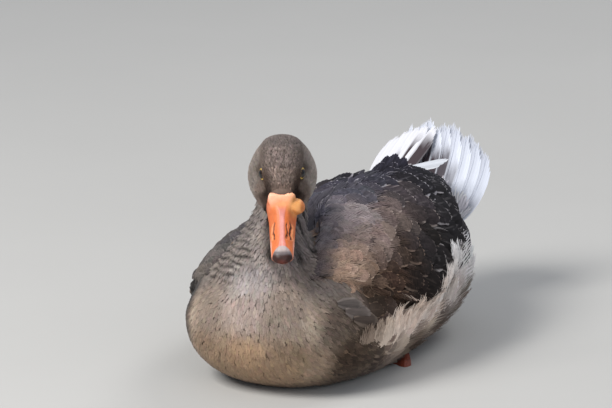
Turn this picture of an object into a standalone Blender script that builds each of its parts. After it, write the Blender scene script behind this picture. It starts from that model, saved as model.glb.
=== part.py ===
"""A resting grey farm goose at life size: head, bill, eyes, neck, trunk, wings, tail, legs and feet.

The goose faces -Y, its left side is +X, and it sits on z = 0. Lengths are in metres. The trunk is
symmetric about x = 0, and the head is turned towards the goose's left and bowed. Each soft form is a
ball whose rings follow a few measured stations, and each seam is a thin cut against the neighbour.
"""

import math

import bmesh
import bpy
from mathutils import Matrix, Vector

CM = 0.01
GAP = 0.0003
CORNER_GAP = 0.0006
POCKET_ROOM = 0.0012

# Trunk: (y, half width, top, bottom, height of the widest line), in cm. What falls below the floor
# is pressed flat on it.
TRUNK = (
    (-18.6, 0.0, 7.6, 7.6, 7.6),
    (-17.6, 4.2, 10.9, 3.9, 7.2),
    (-15.6, 6.9, 12.7, 1.7, 6.7),
    (-12.0, 9.0, 14.4, -0.1, 6.2),
    (-7.0, 10.1, 15.4, -1.1, 5.9),
    (0.0, 10.6, 16.3, -1.6, 6.0),
    (7.0, 10.6, 16.3, -1.2, 6.3),
    (12.5, 10.2, 15.8, 0.0, 6.6),
    (17.0, 8.7, 14.5, 1.9, 7.0),
    (21.0, 5.3, 12.2, 5.0, 8.0),
    (23.4, 0.0, 9.6, 9.6, 9.6),
)
UPPER_ROUNDNESS = 1.86
LOWER_ROUNDNESS = 2.3

# Folded wing: (y, half width, top) of its outer face, in cm.
WING = (
    (-14.5, 8.5, 13.3),
    (-10.0, 10.2, 15.3),
    (-5.0, 11.3, 16.6),
    (2.0, 11.7, 17.0),
    (8.0, 11.4, 16.8),
    (13.0, 10.6, 16.5),
    (18.0, 8.6, 15.3),
    (24.0, 5.3, 13.4),
)
WING_WIDEST = 6.6 * CM
WING_DEPTH = 2.6 * CM
WING_TIP_DEPTH = 0.9 * CM
# (y, height of the wing's lower edge), in cm, and how far the right wing hangs lower.
WING_LOWER_EDGE = ((-14.5, 9.4), (-7.0, 7.8), (1.0, 7.0), (8.0, 8.4), (13.0, 10.4), (18.0, 11.9), (24.0, 12.2))
RIGHT_WING_DROOP = 4.2 * CM
RIGHT_WING_SINK = 1.4 * CM
# How far the back falls below that wing, in cm, and the share of the half width where it has fallen.
RIGHT_BACK_FALL = 1.5
RIGHT_BACK_FALLEN = 0.4
WING_SPINE_CLEARANCE = math.radians(7)
FEATHER_STEPS = 7

# Neck: (z, centre y, half width, half depth) of its level sections, in cm, from inside the breast up.
NECK = (
    (5.0, -9.0, 0.0, 0.0),
    (6.0, -9.2, 5.0, 4.0),
    (9.0, -10.6, 7.0, 5.8),
    (12.2, -12.4, 5.0, 4.9),
    (13.9, -12.6, 3.7, 4.3),
    (15.9, -11.6, 2.65, 3.7),
    (17.6, -10.6, 2.25, 3.3),
    (19.6, -10.0, 2.3, 3.0),
    (21.4, -9.9, 0.0, 0.0),
)
NECK_TOP_SHIFT = 0.9 * CM
NECK_STRAIGHT_BELOW = 11.0 * CM

# Head, in its own frame: f forwards along the gape, u up, both from midway between the eyes.
HEAD_CENTRE = Vector((0.0125, -0.120, 0.2105))
HEAD_TURN = math.radians(25)
HEAD_BOW = math.radians(32)
HEAD_ROLL = math.radians(-1.5)
# (f, dome half width, dome top, dome middle, cheek half width, cheek bottom, cheek middle), in cm.
HEAD = (
    (-4.6, 0.0, -0.2, -0.2, 0.0, -0.2, -0.2),
    (-4.2, 1.5, 1.0, 0.1, 1.9, -1.9, -0.5),
    (-3.2, 2.0, 2.0, 0.5, 2.8, -2.9, -0.95),
    (-1.6, 2.1, 2.55, 0.7, 3.35, -3.35, -1.4),
    (0.0, 2.0, 2.35, 0.6, 3.2, -3.35, -1.62),
    (1.4, 1.75, 1.7, 0.2, 2.6, -3.2, -1.75),
    (2.5, 1.42, 0.95, -0.3, 1.8, -3.05, -1.8),
    (3.2, 1.25, 0.45, -0.6, 1.45, -2.95, -1.75),
    (3.5, 0.0, -1.2, -1.2, 0.0, -1.2, -1.2),
)

# Upper bill: (f, half width at the ridge, half width at the edge, ridge u, edge u), in cm.
BILL_UPPER = (
    (2.4, 0.0, 0.0, -0.6, -0.6),
    (2.9, 1.22, 1.50, 0.42, -2.0),
    (3.6, 1.02, 1.58, 0.18, -2.05),
    (5.0, 0.62, 1.46, -0.52, -2.15),
    (6.6, 0.50, 1.36, -1.08, -2.3),
    (8.2, 0.52, 1.24, -1.48, -2.42),
    (9.1, 0.58, 1.08, -1.64, -2.5),
    (9.75, 0.0, 0.0, -2.15, -2.15),
)
BILL_LOWER = (
    (2.2, 0.0, -2.3, -2.3),
    (2.8, 1.25, -2.08, -3.0),
    (4.5, 1.18, -2.2, -2.95),
    (7.0, 1.04, -2.4, -3.0),
    (8.7, 0.86, -2.54, -2.95),
    (9.3, 0.0, -2.7, -2.7),
)
KNOB_CENTRE = (1.38 * CM, -3.65 * CM, -0.75 * CM)
KNOB_HALF_SIZE = (0.84 * CM, 0.85 * CM, 0.62 * CM)

EYE_CENTRE = (1.5 * CM, 0.0, -0.1 * CM)
EYE_RADIUS = 0.66 * CM

# Tail fan: root and tip of its middle line (y, z), its spread and its arch.
TAIL_ROOT = (19.4 * CM, 8.8 * CM)
TAIL_TIP = (26.6 * CM, 18.3 * CM)
TAIL_SAG = 0.8 * CM
TAIL_HALF_ROOT = 4.2 * CM
TAIL_HALF_SWELL = 1.9 * CM
TAIL_SHIFT = 0.35 * CM
TAIL_ARCH = 2.6 * CM
TAIL_SIDE_SHORTER = 0.20
TAIL_ROOT_THICKNESS = 3.4 * CM
TAIL_TIP_THICKNESS = 0.5 * CM
TAIL_FEATHERS = 16
TAIL_NOTCH = 0.035

# Leg: hock and ankle (x, y, z) and the toes, on the left side.
HOCK = Vector((0.063, 0.126, 0.0115))
ANKLE = Vector((0.059, 0.050, 0.0095))
SHANK_RADIUS = 0.75 * CM
TOE_LENGTHS = (6.6 * CM, 8.0 * CM, 6.4 * CM)
TOE_ANGLES = tuple(math.radians(a) for a in (-22, 3, 26))
TOE_HEIGHT = 0.95 * CM
WEB_HEIGHT = 0.35 * CM
TOE_MARGIN = 0.10
HEEL_HALF_WIDTH = 0.85 * CM
FOOT_LEAN = -0.05

GREY_BROWN = (0.22, 0.18, 0.16)
SLATE = (0.07, 0.065, 0.08)
WHITE = (0.78, 0.78, 0.80)
ORANGE = (0.80, 0.26, 0.07)
KNOB_YELLOW = (0.78, 0.42, 0.16)
EYE_BROWN = (0.03, 0.015, 0.008)


def through(stations, column, at):
    """A smooth value at a place: stations are rows that start with the place."""
    last = len(stations) - 1
    i = 0
    while i < last - 1 and at > stations[i + 1][0]:
        i += 1

    def slope(k):
        a, b = max(k - 1, 0), min(k + 1, last)
        return (stations[b][column] - stations[a][column]) / (stations[b][0] - stations[a][0])

    x0, x1 = stations[i][0], stations[i + 1][0]
    v0, v1 = stations[i][column], stations[i + 1][column]
    t = min(max((at - x0) / (x1 - x0), 0.0), 1.0)
    m0, m1 = slope(i) * (x1 - x0), slope(i + 1) * (x1 - x0)
    return (
        v0 * (1 + 2 * t) * (1 - t) ** 2
        + m0 * t * (1 - t) ** 2
        + v1 * t * t * (3 - 2 * t)
        + m1 * t * t * (t - 1)
    )


def rounded(stations):
    """The stations with their place turned into an angle, so that both ends close round."""
    first, last = stations[0][0], stations[-1][0]
    middle, half = (first + last) / 2, (last - first) / 2
    return tuple((math.acos(max(-1.0, min(1.0, (middle - s[0]) / half))), *s) for s in stations)


def signed_power(value, power):
    return math.copysign(abs(value) ** power, value)


def keep(bm, name, colour, roughness, collection):
    """The finished bmesh as an object of that name, with its own material."""
    bm.normal_update()
    bmesh.ops.recalc_face_normals(bm, faces=bm.faces)
    mesh = bpy.data.meshes.new(name)
    bm.to_mesh(mesh)
    bm.free()
    mesh.shade_smooth()
    mesh.set_sharp_from_angle(angle=math.radians(40))
    material = bpy.data.materials.new(name)
    material.use_nodes = True
    shader = material.node_tree.nodes["Principled BSDF"]
    shader.inputs["Base Color"].default_value = (*colour, 1)
    shader.inputs["Roughness"].default_value = roughness
    shader.inputs["Metallic"].default_value = 0.0
    mesh.materials.append(material)
    piece = bpy.data.objects.new(name, mesh)
    collection.objects.link(piece)
    return piece


def shaped_ball(around, along, place):
    """A closed ball whose rings are moved by place(share along, angle around)."""
    bm = bmesh.new()
    bmesh.ops.create_uvsphere(bm, u_segments=around, v_segments=along, radius=1)
    for vert in bm.verts:
        share = math.acos(max(-1.0, min(1.0, -vert.co.z))) / math.pi
        vert.co = place(share, math.atan2(vert.co.x, vert.co.y))
    return bm


def pieces_of(name):
    collection = bpy.data.collections.new(name)
    bpy.context.scene.collection.children.link(collection)
    return collection


def grown(piece, helpers, by=GAP):
    """A hidden copy of a piece, larger all round by the gap, that cuts its neighbours."""
    copy = piece.copy()
    copy.name = "cut_" + piece.name
    copy.display_type = "WIRE"
    copy.hide_render = True
    helpers.objects.link(copy)
    swell = copy.modifiers.new("swell", "DISPLACE")
    swell.strength = by
    swell.mid_level = 0
    return copy


def cut_from(piece, *cutters):
    for cutter in cutters:
        cut = piece.modifiers.new("cut", "BOOLEAN")
        cut.operation = "DIFFERENCE"
        cut.solver = "EXACT"
        cut.object = cutter


def pocket(name, pieces, helpers):
    """A hidden hull round some pieces, grown a little, that makes room for them in the belly."""
    bm = bmesh.new()
    for piece in pieces:
        bm.from_mesh(piece.data)
    bmesh.ops.delete(bm, geom=bm.edges[:], context="EDGES_FACES")
    hull = bmesh.ops.convex_hull(bm, input=bm.verts)
    spare = set(hull["geom_interior"]) | set(hull["geom_unused"])
    bmesh.ops.delete(bm, geom=[v for v in spare if isinstance(v, bmesh.types.BMVert)], context="VERTS")
    mesh = bpy.data.meshes.new(name)
    bm.to_mesh(mesh)
    bm.free()
    hull_piece = bpy.data.objects.new(name, mesh)
    return grown(hull_piece, helpers, POCKET_ROOM)


def section(half_width, top, bottom, widest, turn):
    """A point (x, z) of the body's cross-section, flat where it meets the floor."""
    rise = math.cos(turn)
    power = 2 / (UPPER_ROUNDNESS if rise > 0 else LOWER_ROUNDNESS)
    height = top - widest if rise > 0 else widest - bottom
    x = half_width * signed_power(math.sin(turn), power)
    fallen = min(1.0, max(0.0, -math.sin(turn)) / RIGHT_BACK_FALLEN) * min(1.0, 3 * max(0.0, rise))
    fall = RIGHT_BACK_FALL * math.sin(fallen * math.pi / 2) * min(1.0, height / top)
    return x, max(widest + height * signed_power(rise, power) - fall, 0.0)


def trunk_place(share, turn):
    stations = rounded(TRUNK)
    at = share * math.pi
    y, half_width, top, bottom, widest = (through(stations, c, at) for c in range(1, 6))
    x, z = section(half_width, top, bottom, widest, turn)
    return Vector((x, y, z)) * CM


def wing_place(side, droop, sink):
    first, last = WING[0][0], WING[-1][0]

    def place(share, turn):
        across = (1 - math.cos(turn)) / 2
        inside = max(0.0, -math.sin(turn)) ** 0.5
        reach = share + 0.012 * math.cos(across * FEATHER_STEPS * 2 * math.pi) * share**6
        y = first + (last - first) * min(reach, 1.0)
        depth = (WING_TIP_DEPTH + (WING_DEPTH - WING_TIP_DEPTH) * (1 - share**3)) * inside
        half_width = through(WING, 1, y) * CM - depth
        top = through(WING, 2, y) * CM - depth - sink * (1 - share**4)
        lower = through(WING_LOWER_EDGE, 1, y) * CM - droop * math.sin(math.pi * min(1, share * 1.3))
        narrow = math.sin(math.pi * min(share * 1.4, 0.5)) * (1 - 0.5 * share**4)
        lowest = math.acos(max(-0.9, min(0.99, (lower - WING_WIDEST) / (top - WING_WIDEST))))
        middle = (WING_SPINE_CLEARANCE + lowest) / 2
        angle = middle + (across - 0.5) * (lowest - WING_SPINE_CLEARANCE) * narrow
        x = half_width * signed_power(math.sin(angle), 2 / UPPER_ROUNDNESS)
        z = WING_WIDEST + (top - WING_WIDEST) * signed_power(math.cos(angle), 2 / UPPER_ROUNDNESS)
        return Vector((side * x, y * CM, z))

    return place


def neck_place(share, turn):
    stations = rounded(NECK)
    at = share * math.pi
    z, y, half_width, half_depth = (through(stations, c, at) * CM for c in range(1, 5))
    shift = NECK_TOP_SHIFT * max(0.0, (z - NECK_STRAIGHT_BELOW) / (NECK[-1][0] * CM - NECK_STRAIGHT_BELOW))
    return Vector((shift + half_width * math.sin(turn), y - half_depth * math.cos(turn), z))


def head_frame():
    """The matrix from the head's own frame, which faces -Y as the body does, to the goose's frame."""
    facing = Matrix.Rotation(HEAD_TURN, 4, "Z") @ Matrix.Rotation(HEAD_BOW, 4, "X")
    return Matrix.Translation(HEAD_CENTRE) @ facing @ Matrix.Rotation(HEAD_ROLL, 4, "Y")


def head_place(share, turn):
    stations = rounded(HEAD)
    at = share * math.pi
    f, dome_w, top, dome_mid, cheek_w, bottom, cheek_mid = (through(stations, c, at) for c in range(1, 8))
    centre = (dome_mid + cheek_mid) / 2
    rise, side = math.cos(turn), math.sin(turn)
    reach = 0.0
    for width, high, low in ((dome_w, top, 2 * dome_mid - top), (cheek_w, 2 * cheek_mid - bottom, bottom)):
        middle, half = (high + low) / 2, (high - low) / 2
        if half < 1e-6 or width < 1e-6:
            continue
        # The farthest point of this ellipse on the ray from the section's centre.
        offset = centre - middle
        a = (side / width) ** 2 + (rise / half) ** 2
        b = 2 * rise * offset / half**2
        c = (offset / half) ** 2 - 1
        root = b * b - 4 * a * c
        if root > 0:
            reach = max(reach, (-b + math.sqrt(root)) / (2 * a))
    return Vector((side * reach, -f, centre + rise * reach)) * CM


def bill_place(share, turn):
    stations = rounded(BILL_UPPER)
    at = share * math.pi
    f, ridge_half, edge_half, ridge, edge = (through(stations, c, at) for c in range(1, 6))
    rise, side = math.cos(turn), math.sin(turn)
    middle, half = (ridge + edge) / 2, (ridge - edge) / 2
    up = half * signed_power(rise, 0.55)
    level = (up + half) / (2 * half) if half > 1e-6 else 0.5
    width = edge_half + (ridge_half - edge_half) * level**1.2
    return Vector((width * signed_power(side, 0.6), -f, middle + up)) * CM


def lower_bill_place(share, turn):
    stations = rounded(BILL_LOWER)
    at = share * math.pi
    f, half_width, top, bottom = (through(stations, c, at) for c in range(1, 5))
    rise, side = math.cos(turn), math.sin(turn)
    middle, half = (top + bottom) / 2, (top - bottom) / 2
    flat = 0.35 if rise > 0 else 1.0
    return Vector((half_width * signed_power(side, 0.7), -f, middle + half * signed_power(rise, flat))) * CM


def tail_place(share, turn):
    """A shell: share runs across the fan, and the angle runs out on the upper side and back below."""
    q = -math.cos(share * math.pi)
    r = (1 - math.cos(turn)) / 2
    under = math.sin(turn)
    feather = abs(((q + 1) / 2 * TAIL_FEATHERS) % 1 - 0.5) * 2
    length = (1 - TAIL_SIDE_SHORTER * q * q) * (1 - TAIL_NOTCH * feather)
    r *= length
    x = TAIL_SHIFT + q * (TAIL_HALF_ROOT + TAIL_HALF_SWELL * math.sin(0.75 * math.pi * r))
    y = TAIL_ROOT[0] + (TAIL_TIP[0] - TAIL_ROOT[0]) * r
    z = TAIL_ROOT[1] + (TAIL_TIP[1] - TAIL_ROOT[1]) * r - TAIL_SAG * math.sin(math.pi * r)
    arch = TAIL_ARCH * q * q * (0.5 + 0.5 * r)
    lean = math.atan2(TAIL_TIP[1] - TAIL_ROOT[1], TAIL_TIP[0] - TAIL_ROOT[0])
    out = Vector((q * 0.5, -math.sin(lean), math.cos(lean))).normalized()
    thick = TAIL_TIP_THICKNESS + (TAIL_ROOT_THICKNESS - TAIL_TIP_THICKNESS) * (1 - r) ** 1.6
    share_above = 0.3 if under > 0 else 0.7
    lift = out * thick * share_above * signed_power(under, 0.4) * min(1.0, (1 - q * q) * 6) ** 0.5
    return Vector((x, y, z - arch * math.cos(lean))) + Vector((0, arch * math.sin(lean), 0)) + lift


def foot_place(side):
    first, last = TOE_ANGLES[0], TOE_ANGLES[-1]

    def place(share, turn):
        q = -math.cos(share * math.pi)
        angle = (first + last) / 2 + q * ((last - first) / 2 + TOE_MARGIN)
        nearest = min(range(3), key=lambda k: abs(angle - TOE_ANGLES[k]))
        toe = math.exp(-((angle - TOE_ANGLES[nearest]) / TOE_MARGIN) ** 2)
        out = (1 - math.cos(turn)) / 2
        distance = out * TOE_LENGTHS[nearest] * (0.80 + 0.20 * toe)
        ridge = (TOE_HEIGHT - WEB_HEIGHT) * max(toe, (1 - out) ** 4) * (1 - 0.5 * out)
        rise = (WEB_HEIGHT + ridge) * max(0.0, math.sin(turn)) ** 0.5
        x = ANKLE.x + FOOT_LEAN * distance + q * HEEL_HALF_WIDTH + math.sin(angle) * distance
        return Vector((side * x, ANKLE.y - math.cos(angle) * distance, rise))

    return place


def shank(side):
    """The scaly shank, lying from the hock forward to the ankle, on small flats."""

    def place(share, turn):
        centre = HOCK.lerp(ANKLE, share)
        knob = math.exp(-((share - 0.10) / 0.13) ** 2) + 0.6 * math.exp(-((share - 0.9) / 0.12) ** 2)
        radius = SHANK_RADIUS * (0.86 + 0.32 * knob) * min(1.0, math.sin(share * math.pi) * 4) ** 0.5
        along = (ANKLE - HOCK).normalized()
        across = along.cross(Vector((0, 0, 1))).normalized()
        upward = across.cross(along)
        spot = centre + across * radius * math.sin(turn) + upward * radius * 1.15 * math.cos(turn)
        return Vector((side * spot.x, spot.y, max(spot.z, 0.0)))

    return shaped_ball(12, 10, place)


def eye_ball(side):
    bm = bmesh.new()
    bmesh.ops.create_uvsphere(bm, u_segments=14, v_segments=7, radius=EYE_RADIUS)
    x, f, u = EYE_CENTRE
    bmesh.ops.translate(bm, verts=bm.verts, vec=(side * x, -f, u))
    bm.transform(head_frame())
    return bm


def knob_ball():
    bm = bmesh.new()
    bmesh.ops.create_uvsphere(bm, u_segments=14, v_segments=8, radius=1)
    bmesh.ops.scale(bm, verts=bm.verts, vec=KNOB_HALF_SIZE)
    bmesh.ops.translate(bm, verts=bm.verts, vec=KNOB_CENTRE)
    bm.transform(head_frame())
    return bm


def in_head(bm):
    bm.transform(head_frame())
    return bm


def build():
    for old in list(bpy.data.objects):
        bpy.data.objects.remove(old)
    goose = pieces_of("resting_goose")
    helpers = pieces_of("cutters")
    helpers.hide_render = True

    trunk = keep(shaped_ball(36, 24, trunk_place), "trunk", GREY_BROWN, 0.9, goose)
    neck = keep(shaped_ball(22, 12, neck_place), "neck", GREY_BROWN, 0.9, goose)
    head = keep(in_head(shaped_ball(28, 18, head_place)), "head", GREY_BROWN, 0.9, goose)
    bill = keep(in_head(shaped_ball(20, 14, bill_place)), "bill_upper", ORANGE, 0.4, goose)
    under = keep(in_head(shaped_ball(14, 9, lower_bill_place)), "bill_lower", ORANGE, 0.45, goose)
    knob = keep(knob_ball(), "bill_knob", KNOB_YELLOW, 0.4, goose)
    tail = keep(shaped_ball(12, 2 * TAIL_FEATHERS, tail_place), "tail", WHITE, 0.85, goose)
    wings, eyes, legs, feet = [], [], [], []
    held = (("left", 1, 0.0, 0.0), ("right", -1, RIGHT_WING_DROOP, RIGHT_WING_SINK))
    for name, side, droop, sink in held:
        wing = shaped_ball(18, 18, wing_place(side, droop, sink))
        wings.append(keep(wing, "wing_" + name, SLATE, 0.85, goose))
        eyes.append(keep(eye_ball(side), "eye_" + name, EYE_BROWN, 0.1, goose))
        legs.append(keep(shank(side), "leg_" + name, ORANGE, 0.6, goose))
        foot = shaped_ball(10, 20, foot_place(side))
        feet.append(keep(foot, "foot_" + name, ORANGE, 0.6, goose))

    wide = {piece: grown(piece, helpers) for piece in (trunk, neck, head, *wings, *eyes)}
    wide |= {piece: grown(piece, helpers, CORNER_GAP) for piece in (bill, under)}
    cut_from(head, *(wide[eye] for eye in eyes))
    cut_from(bill, wide[head])
    cut_from(under, wide[head], wide[bill])
    cut_from(knob, wide[head], wide[bill])
    cut_from(neck, wide[head], wide[bill], wide[under], wide[trunk])
    for wing in wings:
        cut_from(wing, wide[trunk], wide[neck])
    cut_from(tail, wide[trunk], *(wide[wing] for wing in wings))
    for leg, foot in zip(legs, feet):
        cut_from(leg, grown(foot, helpers, CORNER_GAP))
        cut_from(trunk, pocket("pocket_" + leg.name, (leg, foot), helpers))


build()
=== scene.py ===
"""A life-size farm goose at rest: skin, plumage, bill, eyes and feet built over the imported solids."""

import math

import bmesh
import bpy
import numpy as np
from mathutils import Matrix, Vector
from mathutils.bvhtree import BVHTree
from mathutils.kdtree import KDTree


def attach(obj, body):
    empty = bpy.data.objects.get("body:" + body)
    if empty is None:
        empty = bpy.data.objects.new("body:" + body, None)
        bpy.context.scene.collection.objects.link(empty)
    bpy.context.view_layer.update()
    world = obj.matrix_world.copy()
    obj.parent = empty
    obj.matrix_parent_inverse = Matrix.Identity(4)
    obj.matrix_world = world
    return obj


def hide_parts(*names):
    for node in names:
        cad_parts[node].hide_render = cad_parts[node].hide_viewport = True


bl_info = {
    "name": "Resting farm goose",
    "version": (1, 0, 0),
    "blender": (4, 5, 0),
    "location": "3D View > Sidebar > Goose",
    "description": "Builds the skin, plumage, bill, eyes and feet of a goose over its solids",
    "category": "Object",
}

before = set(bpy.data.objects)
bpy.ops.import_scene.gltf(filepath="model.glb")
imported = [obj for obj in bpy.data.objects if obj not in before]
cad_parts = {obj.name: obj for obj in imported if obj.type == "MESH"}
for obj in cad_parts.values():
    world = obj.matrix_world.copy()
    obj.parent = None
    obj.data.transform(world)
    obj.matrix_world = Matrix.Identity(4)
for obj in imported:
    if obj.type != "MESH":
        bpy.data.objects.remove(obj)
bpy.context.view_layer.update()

CM = 0.01
MM = 0.001
FLESH = ("head", "neck", "trunk", "wing_left", "wing_right", "tail")
SIDES = {"left": 1, "right": -1}

HEAD_CENTRE = Vector((1.25, -12.0, 21.05))
HEAD_TURN = math.radians(25)
HEAD_BOW = math.radians(32)
HEAD_ROLL = math.radians(-1.5)
EYE_SPREAD = 1.56
EYE_HEIGHT = 0.06
EYE_RADIUS = 0.62

PATH_STEPS = 6  # stretches of a feather's path
PATCH = 0.003  # how much of the bake map one feather takes
FLOOR_CLEARANCE = 0.3 * MM
SKIN_CLEARANCE = 1.5 * MM
GAP_FILL = 0.35 * MM

BREAST_END = -9  # in centimetres along the body, as are the next three
FLUFF_START = -3.8  # at a height of 5 cm
RUMP_END = 21.5
WISPS_END = 9
BACK_LEVEL = 11.5  # in centimetres above the floor
LONGEST_WING = 23.2 * CM
SKIN_ENDS = {"wing_left": 19 * CM, "wing_right": 19 * CM, "tail": 20.5 * CM}
SADDLE_RADII = Vector((2.0, 13.0, 1.9))  # fills the furrow between the folded wings
SADDLE_CENTRE = Vector((0.2, 8.5, 13.9))


def tint(red, green, blue):
    """A colour given as it looks on a screen, from 0 to 255, as the shader's linear values."""
    def linear(level):
        share = level / 255
        return share / 12.92 if share <= 0.04045 else ((share + 0.055) / 1.055) ** 2.4

    return (linear(red), linear(green), linear(blue))


def head_frame():
    """The matrix from the head's own frame, which faces -Y, to the goose's frame, in centimetres."""
    facing = Matrix.Rotation(HEAD_TURN, 4, "Z") @ Matrix.Rotation(HEAD_BOW, 4, "X")
    return Matrix.Translation(HEAD_CENTRE) @ facing @ Matrix.Rotation(HEAD_ROLL, 4, "Y")


HEAD_FRAME = head_frame()


def seen_from_head(places):
    """Places in centimetres given in the head's own frame: x to its left, -y ahead and z up."""
    inverse = HEAD_FRAME.inverted()
    return np.array([inverse @ Vector(place) for place in places])


# ---------------------------------------------------------------- plumage zones
# A zone is a place on the body where the plumage is known. Its row gives the place in centimetres,
# the lie of the feathers, their length, width and spacing in millimetres, their colour and that of
# their edge, and then the extras that differ from the usual. Between zones everything blends. Each
# zone is mirrored, unless the other side has its own or it stands in a one-sided table.
# Some zone colours are painted shade; those rows are marked where they stand.
USUAL = {"rim": 0.3, "speckle": 0.10, "lift": 0.15, "wander": 0.12, "furrow": 0.0, "dark_heart": 0.0}
MARKED = ("speckle", "furrow")
RIMMED = ("rim", "lift", "wander", "dark_heart")

# in the head's own frame, for rows that are MARKED
HEAD_ZONES = (
    ((0, -3.2, 0.6), (0, 0.4, 1), 3.2, 1.5, 1.5, (122, 104, 94), (150, 134, 122), 0.26),
    ((0, -2.0, 1.9), (0, 1, 0.5), 3.8, 1.7, 1.7, (130, 114, 106), (162, 147, 138), 0.34),
    ((0, 0, 2.5), (0, 1, 0), 4.2, 1.9, 1.8, (122, 109, 104), (152, 140, 132), 0.32),
    ((0, 2.6, 2.2), (0, 1, -0.4), 5.0, 2.2, 2.0, (102, 93, 90), (130, 120, 115), 0.2),
    ((0, 4.4, -0.3), (0, 0.3, -1), 7.0, 2.6, 2.6, (108, 99, 95), (130, 120, 114), 0.14),
    ((1.7, -1.1, -0.2), (0.2, 1, 0.2), 3.0, 1.3, 1.3, (72, 57, 49), (92, 76, 66)),
    ((1.6, -2.0, -0.5), (0.2, 1, 0.2), 3.0, 1.3, 1.3, (40, 29, 24), (56, 42, 36)),
    ((1.5, -2.9, -0.7), (0.2, 1, 0.2), 3.0, 1.3, 1.3, (30, 21, 18), (46, 34, 29)),
    ((1.6, -2.9, -2.0), (0.3, 1, -0.1), 3.4, 1.5, 1.5, (40, 29, 25), (60, 47, 40)),
    ((1.9, -2.3, -1.3), (0.2, 1, 0.1), 3.4, 1.5, 1.5, (70, 56, 49), (96, 80, 71)),
    ((1.7, 0.8, 0.1), (0, 1, 0.1), 3.6, 1.6, 1.5, (98, 87, 81), (120, 108, 102)),
    ((2.0, -0.9, -0.8), (0.1, 1, 0), 3.6, 1.6, 1.5, (118, 104, 96), (142, 128, 120)),
    ((2.8, 0, -0.9), (0, 1, 0.1), 4.4, 1.9, 1.8, (146, 136, 129), (166, 156, 148)),
    ((3.1, -0.2, -1.8), (0, 1, -0.2), 4.6, 2.0, 1.9, (156, 147, 140), (176, 166, 158)),
    ((2.9, 2.0, -1.0), (0, 1, -0.4), 5.5, 2.3, 2.1, (148, 138, 131), (168, 158, 150)),
    ((2.3, -2.2, -1.9), (0, 1, -0.4), 3.8, 1.7, 1.6, (128, 114, 105), (154, 142, 132)),
    # painted shade: on the head's right side these four rows repeat the left side's cheek colours about 15
    # per cent darker, for the shade on that cheek
    ((-2.8, 0, -0.9), (0, 1, 0.1), 4.4, 1.9, 1.8, (124, 115, 109), (144, 135, 128)),
    ((-3.1, -0.2, -1.8), (0, 1, -0.2), 4.6, 2.0, 1.9, (132, 124, 118), (152, 143, 136)),
    ((-2.9, 2.0, -1.0), (0, 1, -0.4), 5.5, 2.3, 2.1, (126, 117, 111), (146, 137, 130)),
    ((-2.3, -2.2, -1.9), (0, 1, -0.4), 3.8, 1.7, 1.6, (110, 97, 90), (136, 124, 116)),
    ((0, -2.0, -3.2), (0, 1, -0.1), 4.6, 2.0, 1.9, (150, 138, 128), (170, 160, 150)),
    ((0, 1.0, -3.2), (0, 1, -0.6), 6.0, 2.4, 2.3, (150, 140, 132), (168, 158, 150)),
)

# neck, breast and throat, for rows that are MARKED
BODY_ZONES = (
    ((0, -15.4, 14.2), (0, -0.5, -1), 8, 3.4, 3.0, (140, 132, 127), (166, 157, 151), 0.1, 0.5),
    ((-2.6, -14.2, 15.0), (-0.4, -0.4, -1), 7, 3.2, 2.8, (122, 115, 112), (154, 147, 143), 0.1, 1.5),
    ((2.6, -14.2, 15.0), (0.3, -0.3, -1), 8, 3.2, 2.9, (108, 101, 101), (134, 127, 126), 0.1, 1.3),
    ((2.6, -11.5, 16.5), (0.2, 0.1, -1), 8, 3.2, 3.0, (106, 99, 98), (134, 127, 123), 0.1, 1.3),
    ((-2.6, -11.5, 16.5), (-0.3, 0.1, -1), 8, 3.2, 2.8, (106, 99, 95), (138, 129, 124), 0.1, 1.4),
    ((0.4, -7.4, 17.2), (0, 0.7, -1), 10, 3.6, 3.2, (104, 97, 97), (134, 126, 124), 0.1, 0.5),
    ((0.6, -11, 19), (0, 0.2, -1), 8, 3, 2.8, (128, 120, 116), (154, 145, 139), 0.1, 0.6),
    ((0, -17.2, 12.0), (0, -0.25, -1), 10, 3.6, 3.4, (164, 156, 154), (182, 174, 170)),
    ((0, -18.2, 8.6), (0, 0.05, -1), 11, 3.9, 3.5, (158, 143, 135), (180, 166, 156), 0.09),
    ((0, -17.4, 4.2), (0, 0.45, -1), 12, 4.1, 3.7, (164, 136, 110), (186, 161, 135), 0.09),
    ((-4.5, -16.8, 8.6), (-0.35, 0.15, -1), 11, 3.9, 3.5, (142, 128, 116), (166, 152, 139), 0.09),
    ((-4.5, -16.4, 3.6), (-0.3, 0.55, -1), 12, 4.1, 3.7, (166, 140, 114), (188, 164, 138), 0.09),
    # painted shade: the breast's left side, in this row and the next three, is darker than its right; in the
    # last two of them it is partly browner plumage as well
    ((4.4, -16.6, 8.6), (0.4, 0.2, -1), 11, 3.9, 3.5, (118, 105, 97), (146, 132, 121)),
    ((4.6, -16.6, 4.4), (0.4, 0.6, -1), 12, 4.1, 3.7, (120, 102, 86), (150, 129, 110)),
    ((7.4, -14.6, 7.2), (0.5, 0.7, -0.8), 13, 4.2, 3.8, (88, 75, 67), (132, 115, 102), 0.22),
    ((8.0, -12.4, 3.6), (0.3, 1, -0.6), 14, 4.4, 4.0, (62, 49, 39), (114, 95, 80), 0.3),
    ((-6.3, -15.7, 7.4), (-0.5, 0.7, -0.8), 13, 3.9, 3.6, (168, 152, 136), (192, 178, 162)),
    ((-6.4, -14.8, 3.4), (-0.3, 1, -0.6), 14, 4.1, 3.8, (150, 130, 112), (180, 162, 144)),
    # painted shade: a little darker than its twin on the right side
    ((5.6, -13.6, 10.8), (0.4, 0.5, -1), 11, 3.7, 3.4, (108, 99, 94), (138, 128, 120)),
    ((-5.6, -13.6, 10.8), (-0.4, 0.5, -1), 11, 3.7, 3.4, (118, 110, 104), (146, 138, 131)),
)

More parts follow.
